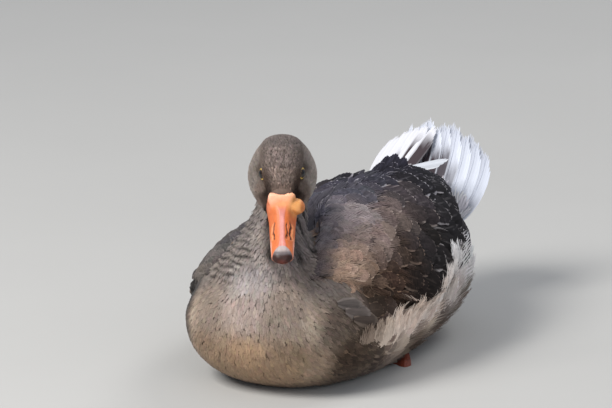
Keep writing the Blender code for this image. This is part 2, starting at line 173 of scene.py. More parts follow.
BODY_ONE_SIDE = (
    ((-4.2, -9.8, 15.0), (-0.5, 0.7, -1), 11, 4.2, 3.6, (100, 94, 92), (138, 132, 128), 0.25),
    ((-8.2, -12.8, 8.8), (-0.2, 1, -0.6), 14, 5, 4.4, (52, 51, 52), (104, 102, 100)),
    ((-8.2, -13.6, 6.8), (-0.1, 1, -0.5), 14, 5, 4.4, (60, 58, 58), (112, 109, 106)),
    ((-8.0, -14.0, 4.8), (-0.1, 1, -0.5), 14, 5, 4.4, (78, 72, 66), (126, 118, 110)),
    ((-5.0, -14.4, 11.8), (-0.6, -0.2, -1), 8, 3.4, 3.0, (132, 122, 116), (162, 152, 145), 0.1, 1.5),
    ((-2.4, -15.6, 13.5), (-0.5, -0.2, -1), 8, 3.4, 3.0, (128, 119, 114), (158, 149, 143), 0.1, 1.8),
    ((-0.5, -16.2, 13.6), (-0.2, -0.3, -1), 8, 3.4, 3.0, (126, 117, 112), (158, 149, 143), 0.1, 1.8),
    ((-3.4, -12.6, 14.8), (-0.5, 0.5, -1), 9, 3.8, 3.2, (88, 84, 84), (122, 117, 115), 0.22, 0.8),
)

# flanks, belly and vent, for rows that are RIMMED
SIDE_ZONES = (
    ((7.8, -11.6, 10.6), (0.2, 1, -0.3), 22, 12, 9.2, (126, 107, 92), (172, 150, 132), 0.4, 0.15, 0.12, 0.5),
    ((8.7, -11.2, 8.4), (0.1, 1, -0.25), 28, 16, 11, (94, 80, 72), (160, 142, 128), 0.7),
    ((9.7, -7.2, 8.0), (0.1, 1, -0.3), 30, 18, 12, (60, 47, 40), (140, 116, 98), 0.8),
    ((9.2, -10.6, 5.8), (0.1, 1, -0.3), 30, 19, 12, (124, 106, 96), (198, 179, 162), 0.85, 0.15, 0.12, 0.6),
    ((9.8, -6.4, 5.0), (0.05, 1, -0.1), 32, 19, 12, (132, 113, 103), (206, 187, 170), 0.9, 0.15, 0.12, 0.6),
    ((9.4, -8.0, 2.4), (0, 1, -0.1), 24, 11, 9.2, (62, 50, 43), (134, 115, 98), 0.7, 0.15, 0.12, 0.5),
    ((10.5, -2.2, 5.6), (0, 0.7, 0.7), 34, 13, 9.2, (224, 204, 189), (238, 222, 208), 0.3, 5, 0.3),
    ((10.4, 2.4, 4.8), (0, 0.8, 0.6), 38, 13, 9.2, (216, 198, 184), (236, 221, 208), 0.3, 5, 0.3),
    # painted shade: this row and the next, low under the white fluff by the floor, are dark browns for the
    # shade there
    ((10.2, 0.5, 2.4), (0, 0.9, 0.4), 32, 11, 9.2, (112, 96, 84), (160, 142, 128), 0.3, 3, 0.25),
    ((9.6, 2.0, 0.8), (0, 1, 0.1), 26, 9, 7, (62, 50, 42), (112, 96, 84), 0.3, 1.5),
    ((10.4, 8.0, 6.0), (0, 0.8, 0.7), 42, 13, 9.2, (198, 188, 182), (222, 214, 210), 0.3, 4, 0.3),
    ((10.0, 11.2, 8.4), (-0.1, 0.9, 0.4), 28, 11, 9.2, (216, 212, 211), (236, 234, 235), 0.3, 3, 0.25),
    ((9.2, 13.6, 10.4), (-0.2, 1, 0.1), 22, 11, 9.2, (206, 204, 206), (232, 231, 234), 0.3, 0.5, 0.2),
    # painted shade: dark brown for the shade low under the white fluff
    ((10.2, 6.6, 3.2), (0, 0.9, 0.4), 36, 12, 9.2, (100, 86, 77), (152, 137, 126), 0.3, 3, 0.25),
    ((8.4, 15.2, 8.6), (-0.3, 1, 0.2), 28, 11, 9.2, (204, 202, 204), (232, 231, 235), 0.3, 0.5, 0.2),
    # painted shade: dark brown for the shade low under the white fluff
    ((8.8, 11.8, 3.8), (-0.1, 1, 0.3), 36, 12, 9.2, (104, 90, 80), (156, 141, 130), 0.3, 3, 0.25),
    ((5.0, 18.4, 6.4), (-0.4, 1, 0.6), 38, 13, 9.2, (206, 204, 206), (234, 234, 238), 0.3, 3, 0.2),
    # painted shade: a shaded beige, low by the vent
    ((6.6, 16.6, 3.0), (-0.1, 1, 0.3), 40, 13, 9.2, (136, 126, 118), (182, 172, 165), 0.3, 9, 0.25),
    ((0, 21.4, 6.6), (0, 0.7, 0.7), 40, 13, 9.2, (222, 222, 226), (240, 241, 245), 0.3, 3, 0.2),
    ((0, 15.0, 1.6), (0, 1, 0.2), 32, 11, 9.2, (160, 150, 142), (200, 192, 186), 0.3, 1),
    ((0, 4.0, 0), (0, 1, 0), 22, 8, 6.5, (140, 128, 118), (180, 168, 158), 0.3, 0.2),
    ((0, -9.0, 0), (0, 1, 0), 18, 7, 5.5, (160, 144, 126), (190, 174, 156), 0.3, 0.2),
    ((6.0, 2.0, 0), (0, 1, 0), 22, 8, 6.5, (120, 106, 94), (166, 150, 136), 0.3, 0.2),
)

SIDE_ONE_SIDE = (
    ((-9.9, -9.0, 7.6), (-0.1, 1, -0.3), 24, 12, 9.2, (76, 74, 74), (134, 130, 127), 0.6),
    ((-10.2, -8.0, 5.2), (-0.1, 1, -0.3), 24, 12, 9.2, (82, 80, 79), (138, 134, 130), 0.6),
)

BACK_ZONES = (
    ((0, -7.0, 15.4), (0, 1, 0), 16, 8, 6, (74, 70, 76), (118, 114, 120)),
    ((0, 0, 16.3), (0, 1, 0), 32, 20, 13, (58, 56, 64), (120, 118, 124), 0.35),
    ((0, 10.0, 15.6), (0, 1, 0), 36, 22, 14, (46, 45, 55), (110, 108, 118), 0.4, 1),
    ((0, 17.4, 13.6), (0, 1, 0.2), 34, 20, 12, (40, 39, 48), (110, 107, 118), 0.6, 1),
    ((0, 20.6, 12.2), (0, 1, 0.9), 26, 15, 9, (62, 58, 64), (140, 138, 144), 0.5, 1),
    ((3.6, 20.6, 11.0), (0.2, 1, 0.9), 26, 15, 9, (196, 196, 202), (236, 238, 244), 0.5, 2),
    ((0, 23.0, 8.8), (0, 0.6, 1), 36, 18, 10, (228, 230, 236), (240, 242, 248), 0.3, 2),
)

WING_ZONES = (
    ((5.2, -12.8, 12.8), (0.2, 1, 0), 16, 9, 6.5, (76, 69, 71), (112, 103, 102)),
    ((3.8, -9.4, 14.8), (0.1, 1, 0.1), 20, 13, 9, (92, 86, 90), (136, 130, 132), 0.35),
    ((1.6, -5.0, 16.2), (0.05, 1, 0.05), 28, 19, 12, (76, 74, 84), (142, 139, 147), 0.6),
    ((2.2, 1.0, 16.9), (0.08, 1, 0), 36, 26, 16, (66, 65, 75), (150, 146, 153), 0.75),
    ((2.2, 8.0, 16.5), (0.08, 1, 0), 42, 30, 18, (50, 49, 59), (156, 153, 161), 0.9, 2),
    ((1.9, 13.0, 16.4), (0.15, 1, 0.4), 50, 30, 17, (28, 27, 35), (112, 108, 118), 0.7, 3, 0.3),
    ((-1.9, 13.0, 16.4), (-0.15, 1, 0), 44, 26, 16, (34, 33, 41), (104, 100, 110), 0.6),
    ((5.2, 11.4, 15.3), (0.1, 1, 0.25), 50, 30, 17, (24, 23, 28), (152, 149, 156), 0.95, 3, 0.4),
    ((4.0, 17.0, 14.7), (0, 1, 0.1), 60, 30, 19, (25, 24, 29), (152, 149, 155), 0.95, 3, 0.2),
    ((7.4, 1.6, 14.2), (0.2, 1, -0.25), 44, 30, 18, (100, 87, 83), (166, 150, 141), 0.7, 2),
    ((9.4, -1.0, 12.1), (0.15, 1, -0.45), 44, 30, 18, (58, 46, 40), (150, 126, 109), 0.85, 1.5),
    ((5.6, 7.6, 15.2), (0.15, 1, -0.05), 50, 32, 19, (58, 52, 55), (160, 151, 150), 0.95, 2.5),
    ((7.2, 12.4, 13.8), (0.1, 1, -0.15), 60, 34, 20, (29, 27, 30), (146, 142, 144), 0.9, 2.5),
    ((9.2, 5.0, 12.5), (0.1, 1, -0.4), 56, 32, 19, (32, 28, 27), (118, 107, 100), 0.8, 1.5),
    ((10.9, 3.6, 9.9), (0, 1, -0.5), 60, 26, 16, (35, 32, 33), (164, 158, 157), 0.9),
    ((11.4, -1.4, 8.4), (0, 1, -0.55), 50, 24, 15, (32, 26, 24), (120, 104, 94), 0.8),
    ((10.2, 9.8, 10.4), (-0.05, 1, -0.2), 60, 26, 16, (28, 26, 28), (140, 136, 136), 0.85),
    ((7.6, 15.6, 12.4), (-0.2, 1, 0), 60, 28, 17, (28, 26, 29), (150, 145, 146), 0.95, 1.5),
    ((4.6, 21.0, 13.0), (-0.1, 1, 0.1), 60, 22, 15, (32, 30, 34), (130, 126, 130), 0.6),
)

# the left wing is buff at the shoulder, the right one greyer in front
WING_ONE_SIDE = (
    ((5.2, -3.2, 15.4), (0.25, 1, -0.2), 36, 25, 16, (142, 131, 131), (196, 186, 184), 0.7, 1.5, 0.3),
    ((7.4, -3.6, 13.9), (0.25, 1, -0.35), 40, 27, 17, (124, 107, 101), (178, 162, 152), 0.5, 2, 0.3),
    ((7.6, -9.6, 12.2), (0.3, 1, -0.3), 26, 15, 10, (150, 127, 112), (212, 188, 168), 0.75, 1.5, 0.35),
    ((7.8, -11.4, 10.6), (0.3, 1, -0.3), 24, 14, 9, (146, 121, 104), (208, 182, 161), 0.75, 1.5, 0.35),
    ((9.2, -8.4, 9.8), (0.2, 1, -0.35), 30, 18, 12, (80, 64, 54), (158, 134, 114), 0.7, 1.5, 0.3),
    ((10.4, -5.0, 9.9), (0.1, 1, -0.5), 42, 26, 16, (60, 46, 38), (152, 122, 100), 0.9, 1.5),
    ((9.7, 1.5, 12.5), (0.15, 1, -0.4), 44, 30, 18, (40, 37, 38), (78, 72, 72), 0.3, 1.5),
    ((-7.4, -3.6, 13.0), (-0.25, 1, -0.35), 36, 22, 14, (78, 74, 74), (124, 118, 116), 0.5, 1.5),
    ((-7.6, -9.6, 11.6), (-0.3, 1, -0.3), 24, 14, 9, (92, 87, 84), (136, 130, 124), 0.4, 1),
    ((-7.8, -11.4, 10.0), (-0.3, 1, -0.3), 22, 13, 9, (96, 90, 86), (142, 136, 128), 0.4, 1),
    ((-6.2, -8.0, 12.8), (-0.3, 1, -0.3), 24, 14, 9, (72, 69, 70), (126, 121, 118), 0.6, 1),
    ((-9.2, -8.4, 8.6), (-0.2, 1, -0.35), 28, 16, 11, (64, 61, 61), (126, 120, 116), 0.6, 1),
    ((-10.4, -5.0, 8.0), (-0.1, 1, -0.5), 40, 24, 15, (66, 63, 64), (130, 126, 124), 0.8, 1),
    ((-5.2, -3.2, 14.6), (-0.25, 1, -0.2), 34, 22, 14, (76, 73, 76), (124, 120, 122), 0.5, 1),
)

# loose strands over the wings, where the rim is how many of them are there
WISP_ZONES = (
    ((2.2, -2.0, 16.6), (0.15, 1, -0.2), 26, 6, 7, (120, 116, 124), (140, 136, 142), 0.25, 0.15, 0.3),
    ((5.3, -3.0, 15.4), (0.3, 1, -0.4), 30, 7, 6, (176, 166, 165), (190, 181, 180), 0.8, 1.5, 0.22),
    ((7.6, -3.5, 13.8), (0.3, 1, -0.5), 30, 7, 6, (166, 151, 143), (184, 170, 162), 0.8, 1.5, 0.22),
    ((7.6, -10.3, 11.9), (0.3, 1, -0.4), 22, 5, 5, (186, 163, 145), (200, 178, 160), 0.6, 1, 0.225),
    ((9.2, -8.4, 9.8), (0.3, 1, -0.4), 24, 5, 6, (128, 106, 90), (150, 128, 110), 0.35, 1, 0.225),
    ((7.6, 1.4, 14.1), (0.3, 1, -0.4), 30, 7, 7, (136, 124, 118), (150, 138, 132), 0.5, 0.15, 0.22),
    ((9.6, -0.8, 11.9), (0.3, 1, -0.5), 26, 5, 7, (116, 98, 88), (128, 110, 100), 0.3, 0.15, 0.22),
    ((9.2, 5.0, 12.5), (0.3, 1, -0.4), 26, 4, 8, (70, 62, 60), (80, 72, 70), 0.1),
    ((-7.4, -3.5, 13.0), (-0.3, 1, -0.4), 24, 4, 7, (110, 106, 106), (120, 116, 116), 0.2),
)

TUFTS = (
    # pointed tufts over the wing's lower edge: the middle of the roots, the tip, colour and edge
    ((9.6, -9.8, 4.4), (9.9, -10.6, 7.2), (150, 132, 118), (190, 172, 156)),
    ((10.0, -8.2, 4.2), (10.4, -8.9, 7.4), (180, 162, 147), (210, 193, 178)),
    ((10.4, -6.6, 4.0), (10.8, -7.3, 7.7), (222, 204, 188), (236, 220, 206)),
    ((10.6, -5.0, 4.0), (11.1, -5.6, 8.2), (242, 223, 208), (248, 233, 220)),
    ((10.8, -3.6, 3.8), (11.3, -4.0, 7.3), (236, 217, 203), (246, 231, 218)),
    ((10.9, -2.2, 4.0), (11.5, -2.3, 8.1), (240, 222, 208), (248, 234, 222)),
    ((11.0, -0.6, 3.8), (11.6, -0.5, 7.4), (232, 215, 203), (243, 230, 219)),
    ((11.0, 1.0, 4.0), (11.6, 1.4, 7.9), (232, 218, 208), (243, 232, 224)),
    ((11.0, 2.6, 4.6), (11.7, 3.0, 9.2), (236, 224, 216), (246, 238, 232)),
    ((10.9, 4.2, 5.2), (11.6, 4.6, 10.2), (236, 228, 223), (246, 241, 237)),
    ((10.7, 5.8, 6.0), (11.2, 6.2, 10.0), (234, 229, 226), (245, 242, 240)),
    ((10.4, 7.6, 7.4), (10.6, 7.6, 11.6), (234, 232, 232), (246, 245, 245)),
    ((10.6, 8.2, 6.2), (10.9, 8.4, 10.6), (230, 227, 226), (244, 242, 242)),
    ((10.5, 7.2, 6.6), (10.8, 7.2, 10.8), (230, 227, 226), (244, 242, 242)),
    ((10.4, 7.2, 4.6), (11.2, 7.4, 8.2), (214, 204, 197), (232, 224, 218)),
)

RUFFLED = (
    # loose feathers: root, tip, the way they face, width, colour and rim
    ((-0.2, 13.2, 15.2), (-0.2, 15.8, 16.7), (-0.2, -0.6, 0.75), 14, (40, 39, 49), (84, 82, 93)),
    ((0.6, 13.0, 15.2), (0.7, 15.9, 17.0), (0, -0.66, 0.75), 17, (42, 41, 51), (86, 84, 95)),
    ((1.5, 13.2, 15.2), (1.7, 15.9, 16.7), (0.2, -0.6, 0.75), 15, (38, 37, 47), (84, 82, 93)),
    ((-0.2, 12.0, 15.3), (-0.2, 14.5, 16.3), (-0.1, -0.5, 0.8), 18, (36, 35, 44), (104, 102, 112)),
    ((1.1, 12.0, 15.3), (1.2, 14.6, 16.4), (0.1, -0.5, 0.8), 19, (34, 33, 41), (126, 123, 132)),
    ((2.4, 12.2, 15.2), (2.7, 14.8, 16.1), (0.2, -0.5, 0.8), 19, (31, 30, 37), (138, 134, 142)),
)

LOOSE_ON_FLANK = (
    # grey feathers at the wing's lower front corner: root, tip, width, colour and rim
    ((8.0, -13.6, 9.5), (9.3, -10.7, 8.9), 15, (84, 77, 74), (120, 111, 106)),
    ((8.4, -13.0, 8.6), (9.7, -9.8, 7.8), 17, (94, 85, 81), (128, 118, 112)),
    ((8.6, -12.2, 7.6), (9.9, -8.9, 6.9), 16, (76, 65, 59), (122, 108, 97)),
)

STRAY_ON_TAIL = (
    (0.6, 18.6, 14.8), (4.6, 20.2, 15.8), (0.1, -0.5, 0.86), 12, (182, 186, 194), (222, 225, 232)
)

SWEPT = (
    # the middle and the tip of long tail feathers, how far their dark heart reaches, width
    ((-1.1, 22.9, 14.1), (0.7, 26.1, 17.7), 0.88, 16),
    ((-2.0, 22.9, 13.9), (-0.2, 26.1, 17.9), 0.84, 15),
    ((-3.0, 22.8, 13.6), (-0.9, 25.9, 17.7), 0.70, 15),
    ((-3.9, 22.7, 13.3), (-1.9, 25.6, 17.2), 0.50, 14),
    ((-4.7, 22.6, 12.9), (-2.9, 25.2, 16.7), 0.0, 13),
)


def zone(row, extras):
    """The values of one row by name; extras names those after its edge colour."""
    at, lie, length, width, spacing, colour, edge, *rest = row
    values = USUAL | dict(zip(extras, rest))
    return values | {
        "at": np.array(at, float) * CM,
        "lie": np.array(lie, float) / np.linalg.norm(lie),
        "length": length * MM,
        "width": width * MM,
        "spacing": spacing * MM,
        "lift": values["lift"] * MM,
        "colour": np.array(tint(*colour)),
        "edge": np.array(tint(*edge)),
    }


def mirrored(one):
    return one | {"at": one["at"] * (-1, 1, 1), "lie": one["lie"] * (-1, 1, 1)}


def turned_with_head(one):
    place = HEAD_FRAME @ Vector(one["at"] / CM)
    return one | {"at": np.array(place) * CM, "lie": np.array(HEAD_FRAME.to_3x3() @ Vector(one["lie"]))}


class Plumage:
    """Blends a group of zones over the body."""

    def __init__(self, extras, reach, crisp, both=(), one_side=(), on_head=False):
        zones = []
        for one in [zone(row, extras) for row in both]:
            twin = mirrored(one)
            alone = any(np.allclose(twin["at"], np.array(row[0]) * CM) for row in both)
            zones.extend([one] if alone else [one, twin])
        zones.extend(zone(row, extras) for row in one_side)
        if on_head:
            zones = [turned_with_head(one) for one in zones]
        self.reach = reach * CM
        self.crisp = crisp
        self.values = {name: np.array([one[name] for one in zones]) for name in zones[0]}

    def at(self, points):
        """Every value of the plumage at these points, by name."""
        gap = ((points[:, None, :] - self.values["at"][None]) ** 2).sum(2)
        weight = 1 / (gap + self.reach**2) ** self.crisp
        shares = weight / weight.sum(1, keepdims=True)
        return {name: shares @ rows for name, rows in self.values.items()}


COATS = {
    "head": Plumage(MARKED, 0.35, 3.2, HEAD_ZONES, on_head=True),
    "front": Plumage(MARKED, 1.5, 2.6, BODY_ZONES, BODY_ONE_SIDE),
    "side": Plumage(RIMMED, 1.3, 2.8, SIDE_ZONES, SIDE_ONE_SIDE),
    "back": Plumage(RIMMED, 1.2, 3.0, BACK_ZONES),
    "wing": Plumage(RIMMED, 1.3, 2.5, WING_ZONES, WING_ONE_SIDE),
}
WISPS = Plumage(RIMMED, 1.0, 3.4, one_side=WISP_ZONES)
RUMP_WHITE = tint(200, 198, 200)
TAIL_RIM = (*tint(240, 244, 252), 0.1)
FAN_ROOT, FAN_TIP = (0.194, 0.088), (0.266, 0.183)  # along the body and up, in metres
FAN_MIDDLE, FAN_SWEEP, FAN_SAG, FAN_ARCH = 0.0035, 0.010, 0.008, 0.026
VISIBLE_STATION = 4  # the stretch of a feather that its neighbours leave bare
FOLD_HEIGHT = 1.6 * MM
DARKER_SHARE = 0.25  # of the feathers
PALER_WISPS = 1.5  # than the wing below them
CROWDING = 0.72  # how near two roots may be, as a share of the spacing
TRIES = 5  # roots tried for each one wanted


# ---------------------------------------------------------------- small mesh tools
def mesh_object(name, mesh):
    piece = bpy.data.objects.new(name, mesh)
    bpy.context.scene.collection.objects.link(piece)
    return piece


def from_bmesh(name, bm):
    """A piece from a bmesh, which is used up."""
    mesh = bpy.data.meshes.new(name)
    bm.to_mesh(mesh)
    bm.free()
    return mesh_object(name, mesh)


def finish_piece(piece, slot, *replaced, smooth=False):
    """Lets a piece ride on the body and hides the solids it stands for."""
    if smooth:
        piece.data.polygons.foreach_set("use_smooth", [True] * len(piece.data.polygons))
    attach(piece, "root")
    if replaced:
        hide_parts(*replaced)
    return piece


def solids(names, grow=0.0, ends=None):
    """One bmesh of merged copies of these solids, each grown a little so that their gaps close.

    Ends says, for some of them, how far back they go before they are cut off."""
    joined = bmesh.new()
    for name in names:
        bm = bmesh.new()
        bm.from_mesh(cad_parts[name].data)
        bmesh.ops.remove_doubles(bm, verts=bm.verts, dist=0.01 * MM)
        bm.normal_update()
        for vertex in bm.verts:
            vertex.co += vertex.normal * grow
        if ends and name in ends:
            cut_off(bm, (0, ends[name], 0), (0, 1, 0))
        spare = bpy.data.meshes.new("spare")
        bm.to_mesh(spare)
        bm.free()
        joined.from_mesh(spare)
        bpy.data.meshes.remove(spare)
    return joined


def cut_off(bm, point, normal):
    """Cuts away what lies beyond a plane and closes the cut."""
    everything = bm.verts[:] + bm.edges[:] + bm.faces[:]
    cut = bmesh.ops.bisect_plane(bm, geom=everything, plane_co=point, plane_no=normal, clear_outer=True)
    rim = [e for e in cut["geom_cut"] if isinstance(e, bmesh.types.BMEdge)]
    bmesh.ops.holes_fill(bm, edges=rim, sides=0)


def relax(bm, times):
    for _ in range(times):
        bmesh.ops.smooth_vert(
            bm, verts=bm.verts, factor=0.5, use_axis_x=True, use_axis_y=True, use_axis_z=True
        )


def remeshed(bm, voxel, smoothing):
    """The bmesh as one closed even skin."""
    rough = from_bmesh("rough", bm)
    modifier = rough.modifiers.new("Even skin", "REMESH")
    modifier.mode = "VOXEL"
    modifier.voxel_size = voxel
    graph = bpy.context.evaluated_depsgraph_get()
    mesh = bpy.data.meshes.new_from_object(rough.evaluated_get(graph))
    even = bmesh.new()
    even.from_mesh(mesh)
    bpy.data.objects.remove(rough)
    bpy.data.meshes.remove(mesh)
    relax(even, smoothing)
    even.normal_update()
    even.verts.ensure_lookup_table()
    return even


class Guide:
    """The outer surface of the plumage, which routes the feathers."""

    def __init__(self, bm):
        bmesh.ops.triangulate(bm, faces=bm.faces)
        bm.verts.ensure_lookup_table()
        self.points = np.array([v.co for v in bm.verts])
        self.faces = np.array([[v.index for v in f.verts] for f in bm.faces])
        vertex_normals = np.array([v.normal for v in bm.verts])
        smooth = vertex_normals[self.faces].mean(1)
        self.normals = smooth / np.linalg.norm(smooth, axis=1, keepdims=True)
        corners = self.points[self.faces]
        sides = corners[:, 1:] - corners[:, :1]
        self.areas = np.linalg.norm(np.cross(sides[:, 0], sides[:, 1]), axis=1) / 2
        self.centres = corners.mean(1)
        self.tree = BVHTree.FromPolygons(self.points.tolist(), self.faces.tolist())

    def nearest(self, points):
        """The nearest surface points and their smooth normals."""
        found = [self.tree.find_nearest(p) for p in points.tolist()]
        places = np.array([f[0] for f in found])
        return places, self.normals[[f[2] for f in found]]


def dent_head(bm):
    """Presses a groove from behind each eye, round it and on to the corner of the bill."""
    own = seen_from_head(v.co / CM for v in bm.verts)
    x, f, u = np.abs(own[:, 0]), -own[:, 1], own[:, 2]
    line = EYE_HEIGHT - 0.30 * np.clip(f, 0, 3.2) - 0.08 * np.clip(f, -3, 0)
    near = np.exp(-(((u - line) / 0.42) ** 2)) * rise(x, 0.7, 1.2) * (1 - rise(x, 3.2, 3.6))
    near *= rise(f, -3.4, -1.6) * (1 - rise(f, 2.7, 3.3))
    socket = np.exp(-((f / 0.7) ** 2) - (((u - EYE_HEIGHT) / 0.6) ** 2)) * rise(x, 0.7, 1.2)
    for number in np.flatnonzero(near + socket > 0.01):
        vertex = bm.verts[number]
        vertex.co -= vertex.normal * float(2.4 * near[number] + 1.6 * socket[number]) * MM
    bm.normal_update()


def rise(value, low, high):
    """A smooth step from 0 to 1 as the value goes from low to high."""
    share = np.clip((value - low) / (high - low), 0, 1)
    return share * share * (3 - 2 * share)


class Shared:
    """What the operators hand on to each other: the guide and which solid each stretch belongs to."""

    guide = None
    owner_tree = None
    owner_faces = None


def map_solids():
    """Remembers which solid each stretch of surface belongs to."""
    points, faces, owners = [], [], []
    for number, name in enumerate(FLESH):
        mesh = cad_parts[name].data
        start = len(points)
        points.extend(tuple(v.co) for v in mesh.vertices)
        faces.extend([start + i for i in p.vertices] for p in mesh.polygons)
        owners.extend([number] * len(mesh.polygons))
    Shared.owner_tree = BVHTree.FromPolygons(points, faces)
    Shared.owner_faces = np.array(owners)


def owners_of(points):
    """The name of the solid nearest to each point."""
    found = [Shared.owner_tree.find_nearest(p)[2] for p in points.tolist()]
    return np.array(FLESH)[Shared.owner_faces[found]]


# ---------------------------------------------------------------- vanes
def vane_shape(rings, sides, blades, spread, slim, round_end, seed, tilt=0.0, fat=1.25, ragged=0.10):
    """A feather's shape: blades side by side, each a tapered closed strip with a ridge.

    Its points are (across, along from 0 to 1, height from 0 to 1, share of the outline from -1 to 1)."""
    rng = np.random.default_rng(seed)
    bm = bmesh.new()
    share = bm.verts.layers.float.new("share")
    for blade in range(blades):
        lane = 0.0 if blades == 1 else 2 * blade / (blades - 1) - 1
        reach = (1 - round_end * lane * lane) * (1 - ragged * rng.random() * (blades > 1))
        level = 0.5 * rng.random()
        made = bmesh.ops.create_cone(bm, cap_ends=True, segments=sides, radius1=1, radius2=0, depth=1)
        own = made["verts"]
        stations = [0.5 * (1 - math.cos(math.pi * (k / rings) ** 0.85)) for k in range(1, rings)]
        for along in stations:
            near = [v for v in own if v.is_valid]
            faces = {f for v in near for f in v.link_faces}
            edges = {e for v in near for e in v.link_edges}
            cut = bmesh.ops.bisect_plane(
                bm, geom=near + list(edges) + list(faces), plane_co=(0, 0, along - 0.5), plane_no=(0, 0, 1)
            )
            own = near + [g for g in cut["geom_cut"] if isinstance(g, bmesh.types.BMVert)]
        for vertex in own:
            along = vertex.co.z + 0.5
            turn = math.atan2(vertex.co.y, vertex.co.x) if along < 0.999 else math.pi / 2
            swell = (0.35 + 0.65 * math.sin(math.pi * min(1, along * 1.1 + 0.05) * 0.5)) * (
                max(0.0, 1 - along**slim) ** 0.5
            )
            across = math.cos(turn) * swell * (1.0 if blades == 1 else fat / blades)
            middle = lane * spread * (0.25 + 0.75 * math.sin(math.pi * 0.5 * min(1, along * 1.3)))
            vertex.co = (middle + across, along * reach, level + 0.5 * math.sin(turn) + tilt * lane)
            vertex[share] = lane * (1 - 1 / blades) + math.cos(turn) / blades
    bmesh.ops.recalc_face_normals(bm, faces=bm.faces)
    bm.verts.ensure_lookup_table()
    shape = np.array([(*v.co, v[share]) for v in bm.verts])
    faces = [[v.index for v in f.verts] for f in bm.faces]
    bm.free()
    return shape, faces


VANES = {
    # rings, sides, blades, how far they spread, how full their tips are, how round the end is
    "soft": [vane_shape(4, 3, 3, 0.6, 2.0, 0.25, s, fat=2.0, ragged=0.25) for s in range(6)],
    "wisp": [vane_shape(5, 3, 4, 0.85, 1.6, 0.3, s, fat=1.0) for s in range(5)],
    "tiny": [vane_shape(3, 3, 2, 0.6, 2.0, 0.2, s) for s in range(3)],
    "body": [vane_shape(5, 3, 5, 0.8, 3.0, 0.35, s) for s in range(5)],
    "fluff": [vane_shape(5, 3, 5, 0.95, 1.3, 0.30, s) for s in range(6)],
    "covert": [vane_shape(6, 3, 7, 0.78, 6.0, 0.20, s, tilt=0.2, fat=2.4, ragged=0.05) for s in range(6)],
}


def route(guide, plumage, roots, lengths, leans):
    """Walks each feather along the surface with the lie of the plumage: its path and the normals."""
    place, normal = guide.nearest(roots)
    paths, normals = [place], [normal]
    heading = None
    for step in range(PATH_STEPS):
        lie = plumage.at(place)["lie"]
        side = np.cross(normal, lie)
        lie = lie + leans[:, None] * side
        lie -= (lie * normal).sum(1)[:, None] * normal
        lie /= np.linalg.norm(lie, axis=1)[:, None] + 1e-9
        heading = lie if heading is None else unit(0.7 * heading + 0.3 * lie)
        ahead = place + heading * (lengths / PATH_STEPS)[:, None]
        place, normal = guide.nearest(ahead)
        paths.append(place)
        normals.append(normal)
    return np.stack(paths, 1), np.stack(normals, 1)


def unit(vectors):
    return vectors / (np.linalg.norm(vectors, axis=-1, keepdims=True) + 1e-12)


def between(series, along):
    """The series, one row of stations for each feather, read at shares of its length."""
    last = series.shape[1] - 1
    spot = np.clip(along, 0, 1) * last
    low = np.minimum(spot.astype(int), last - 1)
    part = (spot - low)[None, :, None]
    return series[:, low] * (1 - part) + series[:, low + 1] * part


def dressed(shape, paths, normals, widths, thick, sink, lift, cup, drape=None):
    """The points of each feather of one shape laid along its path, or draped over a guide.

    The sizes are one for all feathers or one each."""
    widths, thick, sink, lift, cup = (np.reshape(size, (-1, 1)) for size in (widths, thick, sink, lift, cup))
    across, along, height, _ = shape.T
    tangents = unit(np.gradient(paths, axis=1))
    middle = between(paths, along)
    normal = unit(between(normals, along))
    side = unit(np.cross(between(tangents, along), normal)) * (across * widths / 2)[..., None]
    if drape is not None:
        flat, normal = drape.nearest((middle + side).reshape(-1, 3))
        middle = flat.reshape(middle.shape) - side
        normal = normal.reshape(middle.shape)
    height = thick * height + lift * along**2 - sink * (1 - along) ** 1.6 - cup * across**2 * widths
    return middle + side + normal * height[..., None]


def chart(points, centre):
    """An unwrap of the skin's shape seen from inside: longitude and latitude round a centre."""
    out = unit(points - centre)
    longitude = np.arctan2(out[:, 0], -out[:, 1]) / (2 * math.pi) + 0.5
    latitude = np.arcsin(np.clip(out[:, 2], -1, 1)) / math.pi + 0.5
    return np.stack([longitude, latitude], 1) * 0.98 + 0.01


